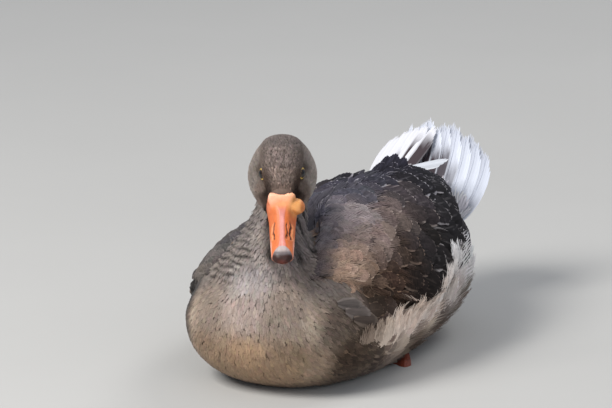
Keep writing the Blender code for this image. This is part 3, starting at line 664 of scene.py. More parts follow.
class Batch:
    """Collects feathers and makes them one mesh with its maps and colours."""

    def __init__(self, centre=(0, 0, 8)):
        self.centre = np.array(centre) * CM
        self.points, self.loops, self.sizes = [], [], []
        self.patch, self.vane, self.base, self.rim, self.heart = [], [], [], [], []
        self.count = 0

    def add(self, shape, faces, places, roots, base, rim, heart=None):
        """Places is (feathers, points, 3); base is a colour and rim a colour with its strength.

        Heart is how far in the rim's colour fades towards the middle."""
        feathers, corners = places.shape[:2]
        places = places.copy()
        places[..., 2] = np.maximum(places[..., 2], FLOOR_CLEARANCE)
        vane = np.stack([shape[:, 3] * 0.5 + 0.5, shape[:, 1]], 1)
        patch = chart(roots, self.centre)[:, None] + PATCH * (np.clip(vane, 0, 1)[None] - 0.5)
        loop = np.concatenate([np.array(f) for f in faces])
        shift = self.count + corners * np.arange(feathers)
        self.points.append(places.reshape(-1, 3))
        self.loops.append((loop[None] + shift[:, None]).ravel())
        self.sizes.append(np.tile([len(f) for f in faces], feathers))
        self.patch.append(patch[:, loop].reshape(-1, 2))
        self.vane.append(np.tile(vane[loop], (feathers, 1)))
        if base.ndim == 2:
            base = np.repeat(base[:, None], corners, axis=1)
        self.base.append(np.concatenate([base, np.ones((feathers, corners, 1))], 2).reshape(-1, 4))
        self.rim.append(np.repeat(rim, corners, axis=0))
        self.heart.append(np.repeat(np.zeros(feathers) if heart is None else heart, corners))
        self.count += feathers * corners

    def piece(self, name, material):
        points = np.concatenate(self.points)
        loops = np.concatenate(self.loops)
        sizes = np.concatenate(self.sizes)
        mesh = bpy.data.meshes.new(name)
        mesh.vertices.add(len(points))
        mesh.vertices.foreach_set("co", points.ravel())
        mesh.loops.add(len(loops))
        mesh.loops.foreach_set("vertex_index", loops)
        mesh.polygons.add(len(sizes))
        mesh.polygons.foreach_set("loop_start", np.cumsum(sizes) - sizes)
        mesh.update(calc_edges=True)
        for label, rows in (("OFBake", self.patch), ("Vane", self.vane)):
            layer = mesh.uv_layers.new(name=label)
            layer.data.foreach_set("uv", np.concatenate(rows).ravel().astype(np.float32))
        for label, rows in (("plume", self.base), ("rim", self.rim)):
            layer = mesh.attributes.new(label, "FLOAT_COLOR", "POINT")
            layer.data.foreach_set("color", np.concatenate(rows).ravel().astype(np.float32))
        layer = mesh.attributes.new("heart", "FLOAT", "POINT")
        layer.data.foreach_set("value", np.concatenate(self.heart).astype(np.float32))
        mesh.materials.append(material)
        mesh.validate()
        mesh.polygons.foreach_set("use_smooth", [True] * len(sizes))
        mesh.set_sharp_from_angle(angle=math.radians(50))
        return mesh_object(name, mesh)


def scatter(guide, plumage, chosen, seed):
    """Seeded roots over the chosen faces, spaced as the plumage says."""
    rng = np.random.default_rng(seed)
    faces = np.flatnonzero(chosen)
    spacing = plumage.at(guide.centres[faces])["spacing"]
    want = guide.areas[faces] / spacing**2
    total = int(want.sum() * TRIES)
    pick = rng.choice(len(faces), total, p=want / want.sum())
    corners = guide.points[guide.faces[faces[pick]]]
    a, b = rng.random(total), rng.random(total)
    fold = a + b > 1
    a[fold], b[fold] = 1 - a[fold], 1 - b[fold]
    sides = corners[:, 1:] - corners[:, :1]
    points = corners[:, 0] + a[:, None] * sides[:, 0] + b[:, None] * sides[:, 1]
    room = spacing[pick] * CROWDING
    tree = KDTree(total)
    for number, point in enumerate(points.tolist()):
        tree.insert(point, number)
    tree.balance()
    free = np.ones(total, bool)
    kept = []
    for number in range(total):
        if free[number]:
            kept.append(number)
            for _, other, _ in tree.find_range(points[number], room[number]):
                free[other] = False
    return points[kept]


def furrows(points):
    """How high the neck's folded plumage stands, from -1 in a furrow to 1 on a ridge.

    The folds run across on the neck's right side and down it on its left."""
    x, y, z = (points / CM).T
    turn = np.arctan2(x - 0.3, -(y + 11.5))
    level = np.clip((0.8 - x) / 1.6, 0, 1)
    across = z * 8.6 + y * 3.0 + x * 1.6 + 1.0 * np.sin(x * 2.1 + z * 1.7)
    down = turn * 11.0 + z * 0.9 + 0.8 * np.sin(z * 1.3 + x)
    depth = 0.72 + 0.28 * np.sin(x * 2.3 - z * 1.1)
    return depth * (level * np.sin(across) + (1 - level) * np.sin(down))


def lay_coat(
    batch, plumage, roots, shapes, seed, sink, thick=0.35, cup=0.06, drape=None, keep=None, dye=None
):
    """Plants feathers at these roots and adds them to the batch.

    Keep picks feathers by their paths, and dye is another coat that gives their colours."""
    rng = np.random.default_rng(seed)
    field = plumage.at(roots)
    count = len(roots)
    lean = rng.normal(0, 1, count) * field["wander"]
    length = field["length"] * rng.uniform(0.85, 1.15, count)
    paths, normals = route(Shared.guide, plumage, roots, length, lean)
    seen = plumage.at(paths[:, VISIBLE_STATION])
    for name in ("colour", "edge", "rim", "speckle", "dark_heart"):
        field[name] = seen[name]
    if keep is not None:
        kept = keep(paths)
        field = {name: values[kept] for name, values in field.items()}
        roots, paths, normals = roots[kept], paths[kept], normals[kept]
        count = len(roots)
    stations = (dye or plumage).at(paths.reshape(-1, 3))
    if dye is not None:
        field["colour"] = stations["colour"].reshape(paths.shape)[:, VISIBLE_STATION]
        stations["colour"] = stations["colour"] * PALER_WISPS
        field["edge"] = stations["edge"].reshape(paths.shape)[:, VISIBLE_STATION]
    fold = (furrows(paths.reshape(-1, 3)) * stations["furrow"]).reshape(paths.shape[:2])
    local = 0.75 * stations["colour"].reshape(paths.shape) + 0.25 * field["colour"][:, None]
    # painted shade: the colour darkens in the neck's furrows and, as a faint painted highlight, lightens a
    # little on their ridges
    local *= (1 + 0.95 * np.minimum(fold, 0) + 0.06 * fold).clip(0.12)[..., None]
    tone = np.exp(rng.normal(0, 1, count) * field["speckle"])
    darker = 1 - 1.1 * field["speckle"].clip(0.1, 0.4) + 0.11
    tone *= np.where(rng.random(count) < DARKER_SHARE, darker, 1)
    local *= tone[:, None, None] * rng.normal(1, 0.02, (count, 1, 3))
    edge = field["edge"] * np.sqrt(tone)[:, None]
    rim = np.c_[edge, field["rim"]]
    kind = rng.integers(0, len(shapes), count)
    width = field["width"] * rng.uniform(0.9, 1.15, count)
    lift = field["lift"] * rng.uniform(0.2, 1.6, count) + fold[:, VISIBLE_STATION] * FOLD_HEIGHT
    for number, (shape, faces) in enumerate(shapes):
        mine = kind == number
        if mine.any():
            places = dressed(
                shape, paths[mine], normals[mine], width[mine], thick * MM, sink * MM, lift[mine], cup, drape
            )
            base = between(local[mine], shape[:, 1])
            batch.add(shape, faces, places, roots[mine], base, rim[mine], field["dark_heart"][mine])


# ---------------------------------------------------------------- materials
class Wire:
    """A socket that does sums: each expression adds its Math nodes."""

    def __init__(self, finish, socket):
        self.finish = finish
        self.socket = socket

    def sum(self, operation, *values):
        node = self.finish.node("ShaderNodeMath", {"operation": operation}, dict(enumerate(values)))
        return Wire(self.finish, node.outputs[0])

    def __add__(self, other):
        return self.sum("ADD", self, other)

    def __radd__(self, other):
        return self.sum("ADD", other, self)

    def __sub__(self, other):
        return self.sum("SUBTRACT", self, other)

    def __rsub__(self, other):
        return self.sum("SUBTRACT", other, self)

    def __mul__(self, other):
        return self.sum("MULTIPLY", self, other)

    def __rmul__(self, other):
        return self.sum("MULTIPLY", other, self)

    def __truediv__(self, other):
        return self.sum("DIVIDE", self, other)

    def __abs__(self):
        return self.sum("ABSOLUTE", self)

    def above(self, other):
        return self.sum("MAXIMUM", self, other)

    def clamped(self):
        node = self.finish.node("ShaderNodeClamp", None, {0: self})
        return Wire(self.finish, node.outputs[0])

    def step(self, low, high):
        """Rises smoothly from 0 at low to 1 at high."""
        node = self.finish.node(
            "ShaderNodeMapRange",
            {"interpolation_type": "SMOOTHSTEP"},
            {"Value": self, "From Min": low, "From Max": high},
        )
        return Wire(self.finish, node.outputs[0])


class Finish:
    """A material and the one way in which its nodes are made."""

    def __init__(self, name, **constants):
        self.material = bpy.data.materials.new(name)
        self.material.use_nodes = True
        self.tree = self.material.node_tree
        self.shader = self.tree.nodes["Principled BSDF"]
        for socket, value in constants.items():
            self.shader.inputs[socket.replace("_", " ")].default_value = value

    def node(self, kind, settings=None, values=None):
        node = self.tree.nodes.new(kind)
        for key, value in (settings or {}).items():
            setattr(node, key, value)
        for key, value in (values or {}).items():
            self.put(node.inputs[key], value)
        return node

    def put(self, socket, value):
        if isinstance(value, Wire):
            value = value.socket
        if isinstance(value, bpy.types.NodeSocket):
            self.tree.links.new(value, socket)
        else:
            socket.default_value = value

    def wire(self, kind, output, settings=None, values=None):
        return Wire(self, self.node(kind, settings, values).outputs[output])

    def attribute(self, name, output="Color"):
        return self.wire("ShaderNodeAttribute", output, {"attribute_name": name})

    def place(self):
        return self.wire("ShaderNodeTexCoord", "Object")

    def point(self, x, y, z):
        return self.wire("ShaderNodeCombineXYZ", 0, None, {0: x, 1: y, 2: z})

    def noise(self, vector, scale, detail=3.0):
        values = {"Vector": vector, "Scale": scale, "Detail": detail}
        return self.wire("ShaderNodeTexNoise", "Fac", None, values)

    def toned(self, colour, tone):
        """The colour made lighter or darker by a number."""
        grey = self.wire("ShaderNodeCombineColor", 0, None, {0: tone, 1: tone, 2: tone})
        return self.blend(1.0, colour, grey, "MULTIPLY")

    def blend(self, factor, first, second, way="MIX"):
        """Two colours mixed, each a socket or a triple."""
        node = self.tree.nodes.new("ShaderNodeMix")
        node.data_type = "RGBA"
        node.blend_type = way
        self.put(node.inputs["Factor"], factor)
        for socket, value in ((node.inputs[6], first), (node.inputs[7], second)):
            self.put(socket, value if isinstance(value, (Wire, bpy.types.NodeSocket)) else (*value, 1))
        return Wire(self, node.outputs[2])

    def feed(self, **sockets):
        for socket, value in sockets.items():
            self.put(self.shader.inputs[socket.replace("_", " ")], value)

    def bump(self, height, strength, distance):
        """Raises the surface by a height, with the distance in millimetres."""
        values = {"Strength": strength, "Distance": distance * MM, "Height": height}
        self.feed(Normal=self.wire("ShaderNodeBump", 0, None, values))


def plumage_finish(name, roughness, streaks, depth, sheen, gloss, pale, root_shade):
    """Feather vanes with streaks, single pale strands and a broken paler rim.

    Depth is how dark the streaks are, and the last argument how much darker the root is than the tip: painted
    shade where each feather lies under the one above."""
    finish = Finish(name, Sheen_Weight=sheen, Sheen_Roughness=0.5, Specular_IOR_Level=gloss)
    vane = finish.wire("ShaderNodeUVMap", "UV", {"uv_map": "Vane"})
    split = finish.node("ShaderNodeSeparateXYZ", None, {0: vane})
    side = Wire(finish, split.outputs[0]) * 2 - 1
    across = abs(side)
    along = Wire(finish, split.outputs[1])
    rim = finish.attribute("rim")
    strength = finish.attribute("rim", "Alpha")
    heart = finish.attribute("heart", "Fac")
    base = finish.attribute("plume")
    own = finish.attribute("plume", "Fac") * 397.0
    slope = along * streaks - across * (streaks * 0.45)
    barb = (slope * 6.28).sum("SINE")
    streak = finish.noise(finish.point(side * 2.3 + along * 0.8, along * 1.3, own), 0.6 + streaks * 0.09, 5.0)
    cloud = finish.noise(finish.point(along, across * 0.6, own), 2.6, 2.0)
    # painted shade: each feather is darker at its root, where the one above overlaps it, than at its tip
    tone = 1.04 - root_shade + 0.03 * barb + depth * (streak - 0.5) + depth * 0.2 * (cloud - 0.5)
    tone = tone + root_shade * along.step(0.35, 1.0)
    outline = 1 - 0.2 * across * across
    reach = across.above((along / outline - 0.6) / 0.38) + (streak - 0.5) * 0.06
    broken = 0.55 + 1.1 * (cloud - 0.25).clamped()
    edge = ((reach - (0.885 - 0.45 * heart)) / (0.05 + 0.36 * heart)).clamped() * broken
    edge = (edge.above(streak.step(0.60, 0.74) * pale) * strength).clamped()
    shaft = (1 - across.step(0.01, 0.05)) * (1 - along.step(0.70, 0.90)) * 0.2
    with_shaft = finish.blend(shaft, finish.toned(base, tone), finish.blend(0.5, base, rim))
    finish.feed(Base_Color=finish.blend(edge, with_shaft, rim), Roughness=roughness + 0.12 * streak)
    finish.bump(barb + streak, 0.25, 0.2)
    return finish.material


def skin_finish():
    """Down and skin that show between the feathers, with the markings of the plumage."""
    finish = Finish("skin_down", Specular_IOR_Level=0.2)
    grain = finish.noise(finish.place(), 420.0, 4.0)
    shade = finish.toned(finish.attribute("plume"), 0.7 + 0.5 * grain)
    finish.feed(Base_Color=shade, Roughness=0.78 + 0.12 * grain)
    finish.bump(grain, 0.5, 0.4)
    return finish.material


def bill_finish():
    """Waxy skin over horn: the painted marks with fine mottling and a fine bumpy grain."""
    finish = Finish(
        "bill_wax", Specular_IOR_Level=0.3, Subsurface_Weight=0.05, Subsurface_Scale=0.003, Coat_Weight=0.04,
        Coat_Roughness=0.35,
    )
    fine = finish.noise(finish.place(), 900.0, 4.0)
    broad = finish.noise(finish.place(), 170.0, 2.0)
    shade = finish.toned(finish.attribute("bill"), 0.66 + 0.24 * fine + 0.44 * broad)
    finish.feed(Base_Color=shade, Roughness=0.36 + 0.18 * fine)
    finish.bump(fine, 0.30, 0.25)
    return finish.material


def foot_finish(orange):
    """Small raised scales of orange skin with darker joints."""
    finish = Finish("foot_scales", Specular_IOR_Level=0.4)
    values = {"Vector": finish.place(), "Scale": 480.0}
    cells = finish.wire("ShaderNodeTexVoronoi", "Distance", {"feature": "DISTANCE_TO_EDGE"}, values)
    joint = 1 - cells.step(0.0, 0.14)
    stain = finish.noise(finish.place(), 90.0)
    skin = finish.blend(stain, orange, tint(104, 52, 38))
    skin = finish.blend(joint * 0.7, skin, tint(60, 30, 24))
    finish.feed(Base_Color=skin, Roughness=0.5 + 0.2 * stain)
    finish.bump(cells, 0.5, 0.4)
    return finish.material


def eye_finish(brown):
    """A wet eye: black pupil in a dark brown iris."""
    finish = Finish("eye_wet", Specular_IOR_Level=0.4, Coat_Weight=0.25, Coat_Roughness=0.03)
    depth = finish.attribute("gaze", "Fac")
    flecks = finish.noise(finish.place(), 1500.0)
    iris = finish.blend(flecks, brown, tint(28, 17, 11))
    inner = finish.blend(depth.step(0.80, 0.86), iris, (0.002, 0.002, 0.002))
    finish.feed(
        Base_Color=finish.blend(1 - depth.step(0.30, 0.42), inner, tint(30, 20, 16)),
        Roughness=0.10 + 0.05 * flecks,
    )
    return finish.material


def lid_finish(yellow):
    """Bare yellow skin round the eye, finely wrinkled."""
    finish = Finish("eye_ring", Specular_IOR_Level=0.4)
    grain = finish.noise(finish.place(), 1400.0)
    skin = finish.blend(grain, yellow, tint(178, 138, 62))
    finish.feed(Base_Color=skin, Roughness=0.5 + 0.2 * grain)
    finish.bump(grain, 0.4, 0.2)
    return finish.material


def floor_finish():
    finish = Finish("studio_floor")
    grain = finish.noise(finish.place(), 3.0)
    pale = finish.blend(grain, (0.43, 0.43, 0.42), (0.46, 0.46, 0.45))
    finish.feed(Base_Color=pale, Roughness=0.85 + 0.05 * grain)
    return finish.material


# ---------------------------------------------------------------- sizes and colours a user may change
def size(name, description, default):
    return bpy.props.FloatProperty(name=name, description=description, default=default, unit="LENGTH")


def angle(name, description, degrees):
    return bpy.props.FloatProperty(
        name=name, description=description, default=math.radians(degrees), subtype="ANGLE"
    )


def colour(name, description, *levels):
    return bpy.props.FloatVectorProperty(
        name=name, description=description, default=tint(*levels), subtype="COLOR", min=0, max=1
    )


class GooseCoat(bpy.types.PropertyGroup):
    skin_voxel: size("Skin grain", "Size of the skin's faces", 2.2 * MM)
    body_depth: size("Body coat depth", "How deep the skin lies under the body's plumage", 5.5 * MM)
    head_depth: size("Head coat depth", "How deep the skin lies under the head's plumage", 1.2 * MM)
    neck_depth: size("Neck coat depth", "How deep the skin lies under neck and breast plumage", 1.2 * MM)
    seed: bpy.props.IntProperty(name="Seed", description="Changes how single feathers lie", default=7)


class GooseTail(bpy.types.PropertyGroup):
    feathers: bpy.props.IntProperty(name="Tail feathers", description="Large feathers in the fan", default=12)
    half_root: size("Root half width", "Half the fan's width at its root", 0.042)
    swell: size("Swell", "How much the fan widens towards its tips", 0.019)


class GooseColours(bpy.types.PropertyGroup):
    bill: colour("Bill", "The bill's horn where no mark covers it", 204, 110, 62)
    feet: colour("Feet", "The scaly skin of legs and feet", 150, 72, 50)
    eye_rings: colour("Eye rings", "The bare skin round the eyes", 232, 200, 104)
    irises: colour("Irises", "The ring of colour in each eye", 50, 30, 18)


class GooseStage(bpy.types.PropertyGroup):
    azimuth: angle("Azimuth", "The camera's turn towards the goose's left", 25)
    elevation: angle("Elevation", "The camera's height as an angle", 14)
    distance: size("Distance", "From the camera to the goose", 5.0)
    lens: bpy.props.FloatProperty(name="Lens", description="Focal length in millimetres", default=303.0)
    aim: bpy.props.FloatVectorProperty(
        name="Aim", description="Where the camera looks", default=(-0.009, -0.02, 0.156), subtype="XYZ"
    )


# ---------------------------------------------------------------- operators
def group_of(points, normals, owners):
    """Which coat each place wears: head, front, side, back, wing or tail."""
    x, y, z = (points / CM).T
    groups = np.full(len(points), "side", dtype="<U6")
    groups[owners == "head"] = "head"
    groups[owners == "neck"] = "front"
    trunk = owners == "trunk"
    groups[trunk & (y < BREAST_END - 0.25 * (z - 4)) & (z > 0.4)] = "front"
    groups[trunk & (y > BREAST_END) & (z > BACK_LEVEL) & (normals[:, 2] > 0.1)] = "back"
    groups[np.isin(owners, ("wing_left", "wing_right"))] = "wing"
    groups[owners == "tail"] = "tail"
    return groups


class GOOSE_OT_skin(bpy.types.Operator):
    """Make one skin for head, neck, trunk, wings and the root of the tail"""

    bl_idname = "goose.skin"
    bl_label = "Skin"

    def execute(self, context):
        sizes = context.scene.goose_coat
        map_solids()
        body = solids(FLESH, GAP_FILL)
        saddle = bmesh.ops.create_uvsphere(body, u_segments=24, v_segments=12, radius=1)["verts"]
        bmesh.ops.scale(body, verts=saddle, vec=SADDLE_RADII * CM)
        bmesh.ops.translate(body, verts=saddle, vec=SADDLE_CENTRE * CM)
        outer = remeshed(body, sizes.skin_voxel, 2)
        dent_head(outer)
        Shared.guide = Guide(outer)
        outer.free()
        skin = remeshed(
            solids(("head", "neck", "trunk", *SKIN_ENDS), GAP_FILL, SKIN_ENDS), sizes.skin_voxel, 2
        )
        dent_head(skin)
        points = np.array([v.co for v in skin.verts])
        normals = np.array([v.normal for v in skin.verts])
        owners = owners_of(points)
        depth = np.full(len(points), sizes.body_depth)
        depth[owners == "head"] = sizes.head_depth
        depth[owners == "neck"] = sizes.neck_depth
        depth[(owners == "trunk") & (points[:, 1] < BREAST_END * CM)] = sizes.neck_depth
        groups = group_of(points, normals, owners)
        colours = np.zeros((len(points), 4))
        colours[:, 3] = 1
        for group, plumage in COATS.items():
            mine = groups == group
            if mine.any():
                colours[mine, :3] = plumage.at(points[mine])["colour"] * 0.8
        colours[groups == "tail", :3] = RUMP_WHITE
        layer = skin.verts.layers.float_color.new("plume")
        for number, vertex in enumerate(skin.verts):
            vertex.co -= vertex.normal * depth[number]
            vertex[layer] = colours[number]
        relax(skin, 4)
        for vertex in skin.verts:
            vertex.co.z = max(vertex.co.z, SKIN_CLEARANCE)
        piece = from_bmesh("skin", skin)
        piece.data.materials.append(skin_finish())
        finish_piece(piece, "feathers_grey", *FLESH, smooth=True)
        return {"FINISHED"}


class GOOSE_OT_small_plumage(bpy.types.Operator):
    """Plant the small feathers of head, neck, breast, flanks, vent and back"""

    bl_idname = "goose.small_plumage"
    bl_label = "Small plumage"

    def execute(self, context):
        sizes = context.scene.goose_coat
        guide = Shared.guide
        owners = owners_of(guide.centres)
        groups = group_of(guide.centres, guide.normals, owners)
        soft = plumage_finish(
            "soft_plumage", roughness=0.75, streaks=12.0, depth=0.8, sheen=0.06, gloss=0.1, pale=0.2,
            root_shade=0.12,
        )
        fluffy = guide.centres[:, 1] > FLUFF_START * CM + 0.25 * (5 * CM - guide.centres[:, 2])
        front, side = groups == "front", groups == "side"
        rump = (groups == "back") | (groups == "tail") & (guide.centres[:, 1] < RUMP_END * CM)
        head = Batch(HEAD_CENTRE)
        roots = scatter(guide, COATS["head"], groups == "head", sizes.seed)
        roots = roots[clear_of_bare_parts(roots)]
        lay_coat(head, COATS["head"], roots, VANES["tiny"], sizes.seed, sink=0.9, thick=0.2)
        finish_piece(head.piece("head_feathers", soft), "feathers_grey")
        for name, coat, pick, shapes, sink in (
            ("neck_feathers", "front", front & (owners == "neck"), "soft", 1.1),
            ("breast_feathers", "front", front & (owners == "trunk"), "soft", 0.7),
            ("flank_feathers", "side", side & ~fluffy, "covert", 3.5),
            ("vent_fluff", "side", side & fluffy, "fluff", 4.0),
            ("back_feathers", "back", rump, "body", 5.5),
        ):
            batch = Batch((0.3, -11.5, 16)) if name == "neck_feathers" else Batch()
            roots = scatter(guide, COATS[coat], pick, sizes.seed)
            lay_coat(batch, COATS[coat], roots, VANES[shapes], sizes.seed + 1, sink=sink)
            if name == "flank_feathers":
                for root, tip, width, colour, edge in LOOSE_ON_FLANK:
                    single_feather(batch, root, tip, None, width, colour, edge, 0.8)
            finish_piece(batch.piece(name, soft), "feathers_grey")
        tufts = Batch()
        raised_tufts(tufts, sizes.seed)
        finish_piece(tufts.piece("flank_tufts", soft), "feathers_grey")
        return {"FINISHED"}


def lay_one(batch, vane, path, normals, width, thick, cup, base, rim, heart=0.0):
    """Adds one feather along a path; its base is one colour or one for each point of the vane."""
    shape, faces = vane
    places = dressed(shape, path[None], normals[None], width, thick, 0, 0, cup)
    batch.add(shape, faces, places, path[:1], np.array(base)[None], np.array([rim]), np.array([heart]))


def single_feather(batch, start, end, normal, width, colour, edge, heart=0.0):
    """One loose feather, from its root to its tip in centimetres; without a normal it lies on the coat."""
    path = np.linspace(np.array(start, float), np.array(end, float), PATH_STEPS + 1) * CM
    if normal:
        normals = np.tile(unit(np.array(normal, float)), (PATH_STEPS + 1, 1))
    else:
        path, normals = Shared.guide.nearest(path)
        path = path + normals * 2.5 * MM
    rim = (*tint(*edge), 0.8)
    lay_one(batch, VANES["covert"][2], path, normals, width * MM, 0.4 * MM, 0.2, tint(*colour), rim, heart)


def raised_tufts(batch, seed, feathers=20):
    """Draws feathers together to a point over the wing's edge, for each tuft."""
    rng = np.random.default_rng(seed)
    steps = np.linspace(0, 1, PATH_STEPS + 1)[None, :, None]
    for base, tip, colour, edge in TUFTS:
        base, tip = np.array(base), np.array(tip)
        starts = base + rng.normal(0, 1, (feathers, 3)) * (0.2, 0.75, 0.35)
        ends = tip - (tip - base) * rng.uniform(0, 0.3, (feathers, 1))
        ends = ends + rng.normal(0, 1, (feathers, 3)) * (0, 0.3, 0.1)
        line = (starts[:, None] + (ends - starts)[:, None] * steps) * CM
        place, normal = Shared.guide.nearest(line.reshape(-1, 3))
        place, normal = place.reshape(line.shape), normal.reshape(line.shape)
        kind = rng.integers(0, len(VANES["fluff"]), feathers)
        tone = rng.normal(1, 0.07, (feathers, 1))
        for number, (shape, faces) in enumerate(VANES["fluff"]):
            mine = kind == number
            if mine.any():
                lift = rng.uniform(3.5, 7, mine.sum()) * MM
                places = dressed(shape, place[mine], normal[mine], 10 * MM, 0.35 * MM, 1 * MM, lift, 0.06)
                rim = np.tile([*tint(*edge), 0.4], (mine.sum(), 1))
                batch.add(shape, faces, places, place[mine][:, 0], np.array(tint(*colour)) * tone[mine], rim)


def clear_of_bare_parts(roots):
    """Keeps feathers off the eyes and the bill."""
    own = seen_from_head(roots / CM)
    eye = np.hypot(own[:, 1], own[:, 2] - EYE_HEIGHT) < EYE_RADIUS
    near_eye = eye & (np.abs(own[:, 0]) > 1.0)
    on_bill = (own[:, 1] < -2.75) & (np.abs(own[:, 0]) < 1.2) & (own[:, 2] > -0.4)
    return ~near_eye & ~on_bill & (own[:, 1] > -3.35)


class GOOSE_OT_wing_plumage(bpy.types.Operator):
    """Lay the coverts and quills of both folded wings"""

    bl_idname = "goose.wing_plumage"
    bl_label = "Wing plumage"

    def execute(self, context):
        sizes = context.scene.goose_coat
        guide = Shared.guide
        owners = owners_of(guide.centres)
        firm = plumage_finish(
            "firm_plumage", roughness=0.62, streaks=16.0, depth=2.3, sheen=0.0, gloss=0.08, pale=0.25,
            root_shade=0.30,
        )
        for side in SIDES:
            batch = Batch()
            roots = scatter(guide, COATS["wing"], owners == "wing_" + side, sizes.seed + 3)
            lay_coat(
                batch, COATS["wing"], roots, VANES["covert"], sizes.seed + 4, sink=4.5, thick=0.4, cup=0.03,
                drape=guide, keep=lambda paths: paths[:, -1, 1] < LONGEST_WING,
            )
            if side == "left":
                for ruffled in RUFFLED:
                    single_feather(batch, *ruffled)
            finish_piece(batch.piece("wing_feathers_" + side, firm), "feathers_slate")
            self.wisps(side, owners, sizes.seed)
        return {"FINISHED"}

    def wisps(self, side, owners, seed):
        """Loose pale strands over the soft coverts of the shoulder."""
        guide = Shared.guide
        batch = Batch()
        shoulder = (owners == "wing_" + side) & (guide.centres[:, 1] < WISPS_END * CM)
        roots = scatter(guide, WISPS, shoulder, seed + 5)
        rng = np.random.default_rng(seed)
        roots = roots[rng.random(len(roots)) < WISPS.at(roots)["rim"]]
        lay_coat(batch, WISPS, roots, VANES["wisp"], seed + 6, sink=1.0, thick=0.25, dye=COATS["wing"])
        finish = plumage_finish(
            "wisp_plumage", roughness=0.75, streaks=8.0, depth=1.2, sheen=0.0, gloss=0.1, pale=0.3,
            root_shade=0.0,
        )
        finish_piece(batch.piece("wing_wisps_" + side, finish), "feathers_grey")


class GOOSE_OT_tail(bpy.types.Operator):
    """Spread the large tail feathers as a fan of barbs on their shafts"""

    bl_idname = "goose.tail"
    bl_label = "Tail"

    def execute(self, context):
        sizes = context.scene.goose_tail
        rng = np.random.default_rng(11)
        batch = Batch((0, 20, 6))
        shapes = [
            vane_shape(10, 3, 10, 0.88, 5.0, 0.16, seed, tilt=0.5, fat=2.6, ragged=0.05) for seed in range(5)
        ]
        for layer in range(2):
            for number in range(sizes.feathers):
                q = (number + 0.5 + 0.5 * layer) / sizes.feathers * 2 - 1
                if q < 1:
                    self.feather(batch, shapes[rng.integers(5)], sizes, q, layer, rng)
        for turn in SWEPT:
            self.swept(batch, shapes[rng.integers(5)], *turn)
        single_feather(batch, *STRAY_ON_TAIL)
        finish = plumage_finish(
            "tail_plumage", roughness=0.65, streaks=8.0, depth=0.45, sheen=0.05, gloss=0.1, pale=0.0,
            root_shade=0.0,
        )
        finish_piece(batch.piece("tail_feathers", finish), "feathers_white")
        return {"FINISHED"}

    def feather(self, batch, vane, sizes, q, layer, rng):
        """One large feather with its shaft: an upper one, or one half hidden below two others."""
        whole = (1.05 - 0.19 * q * q - 0.05 * bump_at(q, 0.05, 0.14)) * (1 - 0.05 * rng.random())
        stations = np.linspace(0, whole, PATH_STEPS + 1)
        place, normal = tail_sheet(np.full(PATH_STEPS + 1, q), stations, sizes)
        width = 3.3 / sizes.feathers * (sizes.half_root + sizes.swell)
        # painted shade: a feather of the lower layer, half hidden below two others, is 15 per cent darker
        base = self.colours(q, vane[0], rng) * (1.0 if layer == 0 else 0.85)
        below = layer * 1.4
        path = place - normal * below * MM
        lay_one(batch, vane, path, normal, width, 0.35 * MM, 0.01, base, TAIL_RIM)
        spine = vane_shape(6, 4, 1, 0, 3.0, 0.0, 1)
        place, normal = tail_sheet(np.full(PATH_STEPS + 1, q), stations * 0.95, sizes)
        base = self.colours(q, spine[0] * (1, 1, 1, 0), np.random.default_rng(1)) * 1.1
        path = place - normal * (below - 0.15) * MM
        lay_one(batch, spine, path, normal, 0.8 * MM, 0.5 * MM, 0, base, (0.7, 0.7, 0.7, 0.0))

    def swept(self, batch, vane, middle, tip, heart, width):
        """A long outer feather that bends over the others."""
        t = np.linspace(0, 1, PATH_STEPS + 1)[:, None]
        root, middle, tip = (np.array(place) * CM for place in ((-4.0, 20.2, 9.8), middle, tip))
        bend = 2 * middle - 0.5 * (root + tip)
        path = (1 - t) ** 2 * root + 2 * t * (1 - t) * bend + t * t * tip
        normals = np.tile((0.0, -0.8, 0.6), (PATH_STEPS + 1, 1))
        across, along = vane[0][:, 3], vane[0][:, 1]
        dark = (np.clip((heart - along) / 0.10, 0, 1) * np.clip((across + 0.55) / 0.25, 0, 1))[:, None]
        base = np.array(tint(206, 207, 214)) * (1 - dark) + np.array(tint(64, 56, 60)) * dark
        lay_one(batch, vane, path, normals, width * MM, 0.35 * MM, 0.02, base, TAIL_RIM)

    def colours(self, q, shape, rng):
        """White greying towards one edge in painted shade between the feathers, with a grey-brown heart that
        is longest in the middle feathers.
        """
        white, shadow, heart = (np.array(tint(*c)) for c in ((217, 222, 234), (166, 170, 182), (60, 52, 57)))
        reach = 0.86 - 0.30 * np.clip((q - 0.28) / 0.3, 0, 1) - 0.6 * np.clip((-0.62 - q) / 0.12, 0, 1)
        reach -= 0.06 * rng.random()
        across, along = shape[:, 3], shape[:, 1]
        pale = white + (shadow - white) * (0.5 - 0.5 * across)[:, None]
        dark = np.clip((reach - along) / 0.10, 0, 1) * np.clip((1.02 - across) / 0.10, 0, 1)
        # on the right-hand feathers the heart is half as dark: there it is partly marking and partly painted
        # shade near their roots
        dark *= 1 - 0.5 * np.clip((q - 0.22) / 0.3, 0, 1)
        return pale * (1 - dark[:, None]) + heart * dark[:, None]


def tail_sheet(q, r, sizes):
    """Points and normals of the fan: q runs across it from -1 to 1 and r out along it."""
    length, height = FAN_TIP[0] - FAN_ROOT[0], FAN_TIP[1] - FAN_ROOT[1]
    lean = math.atan2(height, length)

    def surface(q, r):
        x = FAN_MIDDLE + q * (sizes.half_root + sizes.swell * np.sin(0.75 * math.pi * np.minimum(r, 1.1)))
        x = x + FAN_SWEEP * r * np.clip(-q, 0, 1)
        y = FAN_ROOT[0] + length * r
        z = FAN_ROOT[1] + height * r - FAN_SAG * np.sin(math.pi * r)
        arch = FAN_ARCH * q * q * (0.5 + 0.5 * r)
        return np.stack([x, y + arch * math.sin(lean), z - arch * math.cos(lean)], -1)

    small = 0.01
    place = surface(q, r)
    across = surface(q + small, r) - place
    out = surface(q, r + small) - place
    normal = unit(np.cross(across, out))
    return place, normal


